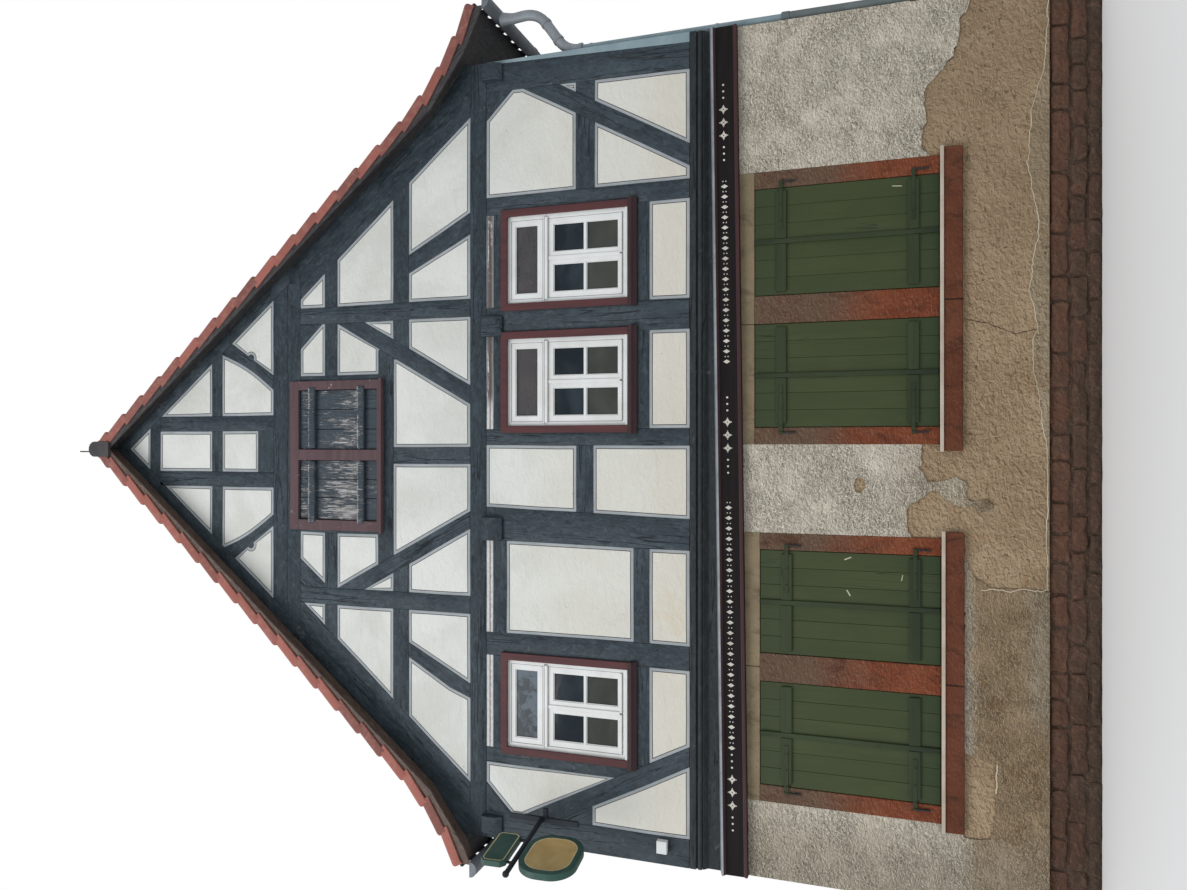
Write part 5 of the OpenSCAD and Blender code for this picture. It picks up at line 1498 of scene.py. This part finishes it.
def tileSlope(name, side, eave, node):
    line = [Vector(roof[key]) for key in ("ridge", "flare", "bend", eave)]
    tail = sum((b - a).length for a, b in zip(line, line[1:]))
    made, ends = [], []

    def isUpper(co):
        return any(abs(abs(co.x) - place.x) < 0.003 and abs(co.z - place.y) < 0.003 for place in line)

    while tail > 0.12:
        a = slopePoint(line, max(tail - tileLong, 0.03))
        b = slopePoint(line, tail)
        angle = atan2(a.y - b.y, b.x - a.x)
        up = Vector((sin(angle), cos(angle)))
        a = a + up * (roof["headUp"] - roof["sink"])
        b = b + up * (roof["tailUp"] - roof["sink"])
        angle = atan2(a.y - b.y, b.x - a.x)
        middle = (a + b) / 2
        stretch = (b - a).length / tileLong
        down = Vector((side * cos(angle), 0, -sin(angle)))
        out = Vector((side * sin(angle), 0, cos(angle)))
        matrix = Matrix(((0, -down.x * stretch, out.x, side * middle.x), (1, 0, 0, roof["front"]),
                         (0, -down.z * stretch, out.z, middle.y), (0, 0, 0, 1)))
        made.append(copyOf(course, "course", matrix))
        ends += [copyOf(model, "verge", matrix) for model in (vergeFront, vergeBack)]
        tail -= roof["gauge"]
    finishPiece(joinAll(name, made), "tile", marks=(layTint,))
    ends = joinAll(name + "Verge", ends)
    tidyMesh(ends)
    finishPiece(ends, "vergeTile", marks=(layTint,))
    # The deck under the tiles
    deck = takeNode(node, name + "Deck")
    moveVerts(deck, isUpper, (0, 0, -roof["sink"] * 1.25))
    finishPiece(deck, "rafter", marks=(layGrain,), replaced=[node])


# The waves of the last course hang below the deck, with openings between them over the gutter
eaveEnds = {"places": ((4.583, 5.785), (-4.298, 5.924)), "radius": 0.074, "thick": 0.012, "squash": 1.13,
            "cut": 0.012}


def eaveWaves():
    lobes = []
    for x, z in eaveEnds["places"]:
        model = startRod("eaveLobe", eaveEnds["radius"], eaveEnds["thick"], (0, 0, 0), (0, pi / 2, 0), 20)
        keepLower(model, (0, 0, eaveEnds["cut"]))
        for k in range(1, roof["across"]):
            place = Matrix.Translation((x, roof["front"] + tileWide * k, z))
            lobes.append(copyOf(model, "lobe", place @ Matrix.Diagonal((1, 1, eaveEnds["squash"], 1))))
        dropObjects(model)
    finishPiece(joinAll("eaveTileEnds", lobes), "tileShade", marks=(layTint,))


course = modelCourse()
eaveWaves()
vergeFront = modelVerge(-verge["frontGap"], -1)
vergeBack = modelVerge(roof["back"] - roof["front"] - verge["backGap"], 1)
tileSlope("tilesLeft", -1, "eaveLeft", "roof_left")
tileSlope("tilesRight", 1, "eaveRight", "roof_right")
dropObjects(course, vergeFront, vergeBack)
# Each ridge tile widens towards the front, where it lies over the next one
ridgeSizes = {"axis": 10.838, "widen": 1.11, "lap": 0.035, "front": -4.955}
ridge = takeNode("ridge_tiles")
for member in looseMembers(ridge.data):
    low, high = cornersOf(ridge.data, member)
    for i in member:
        place = ridge.data.vertices[i].co
        if place.y < (low[1] + high[1]) / 2:
            place.x *= ridgeSizes["widen"]
            place.z = ridgeSizes["axis"] + (place.z - ridgeSizes["axis"]) * ridgeSizes["widen"]
            place.y = max(place.y - ridgeSizes["lap"], ridgeSizes["front"])
finishPiece(ridge, "tile", 0.005, 1, (layTint,), ["ridge_tiles"])
# The right verge board gets the darker wood as painted shade
vergeBoards = finishNode("verge_boards", "verge vergeDark", 0.003, 1, (layGrain,))
secondFinish(vergeBoards, lambda face: face.center.x > 0)
print("roof done")


# Gutters, and the rain pipe given by places in x and z and by levels with their radius

rain = {"y": -4.65, "plumb": 4.132, "neck": ((4.562, 5.50), (4.586, 5.215), (4.132, 4.894), (4.132, 4.724)),
        "bends": (0.17, 0.15), "bendSteps": 8, "neckRadius": 0.053, "radius": 0.040, "sides": 20,
        "funnel": ((4.570, 5.634, 0.072), (4.570, 5.612, 0.071), (4.566, 5.530, 0.056),
                   (4.562, 5.485, 0.055)), "pipe": (4.744, 3.6, 2.66),
        "sleeve": ((0.25, 0.050), (2.62, 0.050), (2.625, 0.056), (2.69, 0.056), (2.70, 0.050)),
        "collars": (9, 10, -1), "collar": ((-0.035, 0.002), (-0.020, 0.006), (0.010, 0.007)),
        "clamps": (1.35, 3.32, 4.62), "wall": 4.07,
        "clamp": ((-0.016, 0.002), (-0.012, 0.005), (0.012, 0.005), (0.016, 0.002))}


# A round tube through rings of a middle and a radius, closed at both ends
def startTube(name, rings):
    steps = len(rings) - 1
    tube = startGrid(name, rain["sides"], steps)
    across = Vector((0, 1, 0))
    for vert in tube.data.vertices:
        k = round((vert.co.y + 1) / 2 * steps)
        turn = (vert.co.x + 1) * pi
        middle, radius = rings[k]
        ahead = (rings[min(k + 1, steps)][0] - rings[max(k - 1, 0)][0]).normalized()
        vert.co = middle + (across * cos(turn) + ahead.cross(across) * sin(turn)) * radius
    tube.data.update()
    editAll(tube)
    bpy.ops.mesh.remove_doubles(threshold=0.0002)
    bpy.ops.mesh.select_all(action="DESELECT")
    bpy.ops.mesh.select_non_manifold()
    bpy.ops.mesh.edge_face_add()
    tidyMesh(tube)
    smoothBy(tube, 40)
    return tube


# A path whose corners are rounded off
def roundPath(points, bends, steps):
    path = [points[0]]
    for k in range(1, len(points) - 1):
        before = points[k] + (points[k - 1] - points[k]).normalized() * bends[k - 1]
        after = points[k] + (points[k + 1] - points[k]).normalized() * bends[k - 1]
        for n in range(steps + 1):
            t = n / steps
            path.append(before * (1 - t) ** 2 + points[k] * 2 * t * (1 - t) + after * t ** 2)
    path.append(points[-1])
    return path


def rainPoint(x, z):
    return Vector((x, rain["y"], z))


def plumbTube(name, levels):
    return startTube(name, [(rainPoint(rain["plumb"], z), radius) for z, radius in levels])


gutterEnds = {"middles": ((4.615, 5.690), (-4.330, 5.829)), "ends": (-5.017, 5.017), "disc": (0.080, 0.004)}
caps = [takeNode("gutters")]
softEdges(caps[0], 0.002, 1)
for x, z in gutterEnds["middles"]:
    for y in gutterEnds["ends"]:
        caps.append(startRod("gutterEnd", *gutterEnds["disc"], (x, y, z), (pi / 2, 0, 0), 32))
        keepLower(caps[-1], (x, y, z))
# The gutters get the darker zinc as painted shade under the eaves
dress(joinAll("gutters", caps), "zincShaded", ["gutters"])
neckPath = roundPath([rainPoint(*place) for place in rain["neck"]], rain["bends"], rain["bendSteps"])
neck = [startTube("neck", [(point, rain["neckRadius"]) for point in neckPath]),
        startTube("funnel", [(rainPoint(x, z), radius) for x, z, radius in rain["funnel"]])]
for k in rain["collars"]:
    ahead = (neckPath[k] - neckPath[k - 1]).normalized()
    neck.append(startTube("collar", [(neckPath[k] + ahead * away, rain["neckRadius"] + rise)
                                     for away, rise in rain["collar"]]))
dress(joinAll("rainNeck", neck), "zinc")
pipe = [plumbTube("plumb", [(z, rain["radius"]) for z in rain["pipe"]])]
sleeveTop, sleeveRadius = rain["sleeve"][-1]
for z in rain["clamps"]:
    wide = sleeveRadius if z < sleeveTop else rain["radius"]
    pipe.append(plumbTube("clamp", [(z + up, wide + rise) for up, rise in rain["clamp"]]))
    pipe.append(startBox("holder", (rain["wall"], rain["y"] - 0.010, z - 0.012),
                         (rain["plumb"] - 0.02, rain["y"] + 0.010, z + 0.012)))
dress(joinAll("rainPipe", pipe), "pipe", ["rain_pipe"])
dress(plumbTube("rainSleeve", rain["sleeve"]), "sleeve")
dressNode("corner_board", "pipe")


# Small pieces: cap at the ridge end, sign, junction box and floors

capSizes = {"front": -5.033, "forward": 0.020, "foot": (-5.0, 10.68), "lower": 0.035}
cap = takeNode("ridge_end_cap")
moveVerts(cap, lambda co: co.y < capSizes["front"], (0, -capSizes["forward"], 0))
y, z = capSizes["foot"]
moveVerts(cap, lambda co: co.y < y and co.z < z, (0, 0, -capSizes["lower"]))
finishPiece(cap, "capMetal", 0.004, replaced=["ridge_end_cap"])
finishNode("sign_bracket", "signIron", 0.002, 1)
# Both sides of the bare sign boards have a rim, a thin line and a sunk field
signSizes = {"area": 0.05, "rims": (0.052, 0.012), "line": 0.009, "sink": 0.004, "between": 5.1}
signBoards = finishNode("sign_boards", "sign signRim signField", 0.006)
for rim, upper in zip(signSizes["rims"], (False, True)):
    pickFaces(signBoards, lambda face: abs(face.normal.x) > 0.9 and face.area > signSizes["area"]
              and (face.center.z > signSizes["between"]) == upper)
    field = 0 if upper else 2
    for finish, thickness, depth in ((1, rim, 0), (field, signSizes["line"], 0),
                                     (field, signSizes["sink"], -signSizes["sink"])):
        bpy.ops.mesh.inset(thickness=thickness, depth=depth, use_individual=True)
        objectMode()
        for face in signBoards.data.polygons:
            if face.select:
                face.material_index = finish
        editMode()
    objectMode()
for node, finish in (("junction_box", "plastic"), ("ground_floor", "floorStone"),
                     ("upper_floor", "floorWood"), ("attic_floor", "floorWood")):
    dressNode(node, finish)
print("small pieces done")


# Stage, light and camera

stage = {"floor": 400, "place": (-12, -22, 20), "target": (0, -4, 4), "size": 14, "power": 3800,
         "light": ((0.95, 0.97, 1.0, 1), 0.75), "back": ((1, 1, 1, 1), 1.0)}
floor = start("studioFloor", bpy.ops.mesh.primitive_plane_add, size=stage["floor"])
floorPaint = Finish("studioFloor")
floorPaint.colour = (0.8, 0.8, 0.8, 1)
floorPaint.done(0.9)
floor.data.materials.append(floorPaint.material)
lamp = bpy.data.lights.new("keyLight", "AREA")
lamp.size = stage["size"]
lamp.energy = stage["power"]
key = bpy.data.objects.new("keyLight", lamp)
bpy.context.collection.objects.link(key)
key.location = stage["place"]
key.rotation_euler = (Vector(stage["target"]) - key.location).to_track_quat("-Z", "Y").to_euler()
world = bpy.data.worlds.new("studio")
world.use_nodes = True
tree = world.node_tree
tree.nodes.clear()
mixer = tree.nodes.new("ShaderNodeMixShader")
for number, side in enumerate(("light", "back")):
    sky = tree.nodes.new("ShaderNodeBackground")
    sky.inputs[0].default_value, sky.inputs[1].default_value = stage[side]
    tree.links.new(sky.outputs[0], mixer.inputs[number + 1])
rays = tree.nodes.new("ShaderNodeLightPath")
end = tree.nodes.new("ShaderNodeOutputWorld")
tree.links.new(rays.outputs["Is Camera Ray"], mixer.inputs[0])
tree.links.new(mixer.outputs[0], end.inputs[0])
bpy.context.scene.world = world

# The camera of the photo, rolled by a quarter turn like the picture
view = {"pitch": 18.74, "place": (0.05, -13.2, 1.70), "focal": 880 / 1187 * 36}
pitch = radians(view["pitch"])
ahead = Vector((0, cos(pitch), sin(pitch)))
raised = Vector((0, -sin(pitch), cos(pitch)))
aside = Vector((1, 0, 0))
camera = bpy.data.cameras.new("camera")
cameraObject = bpy.data.objects.new("camera", camera)
bpy.context.collection.objects.link(cameraObject)
rows = [(-raised[k], aside[k], -ahead[k], view["place"][k]) for k in range(3)]
cameraObject.matrix_world = Matrix((*rows, (0, 0, 0, 1)))
camera.sensor_fit = "HORIZONTAL"
camera.sensor_width = 36
camera.lens = view["focal"]
bpy.context.scene.camera = cameraObject
bpy.context.scene.view_settings.view_transform = "Standard"
clearSelection()

print("scene ready")
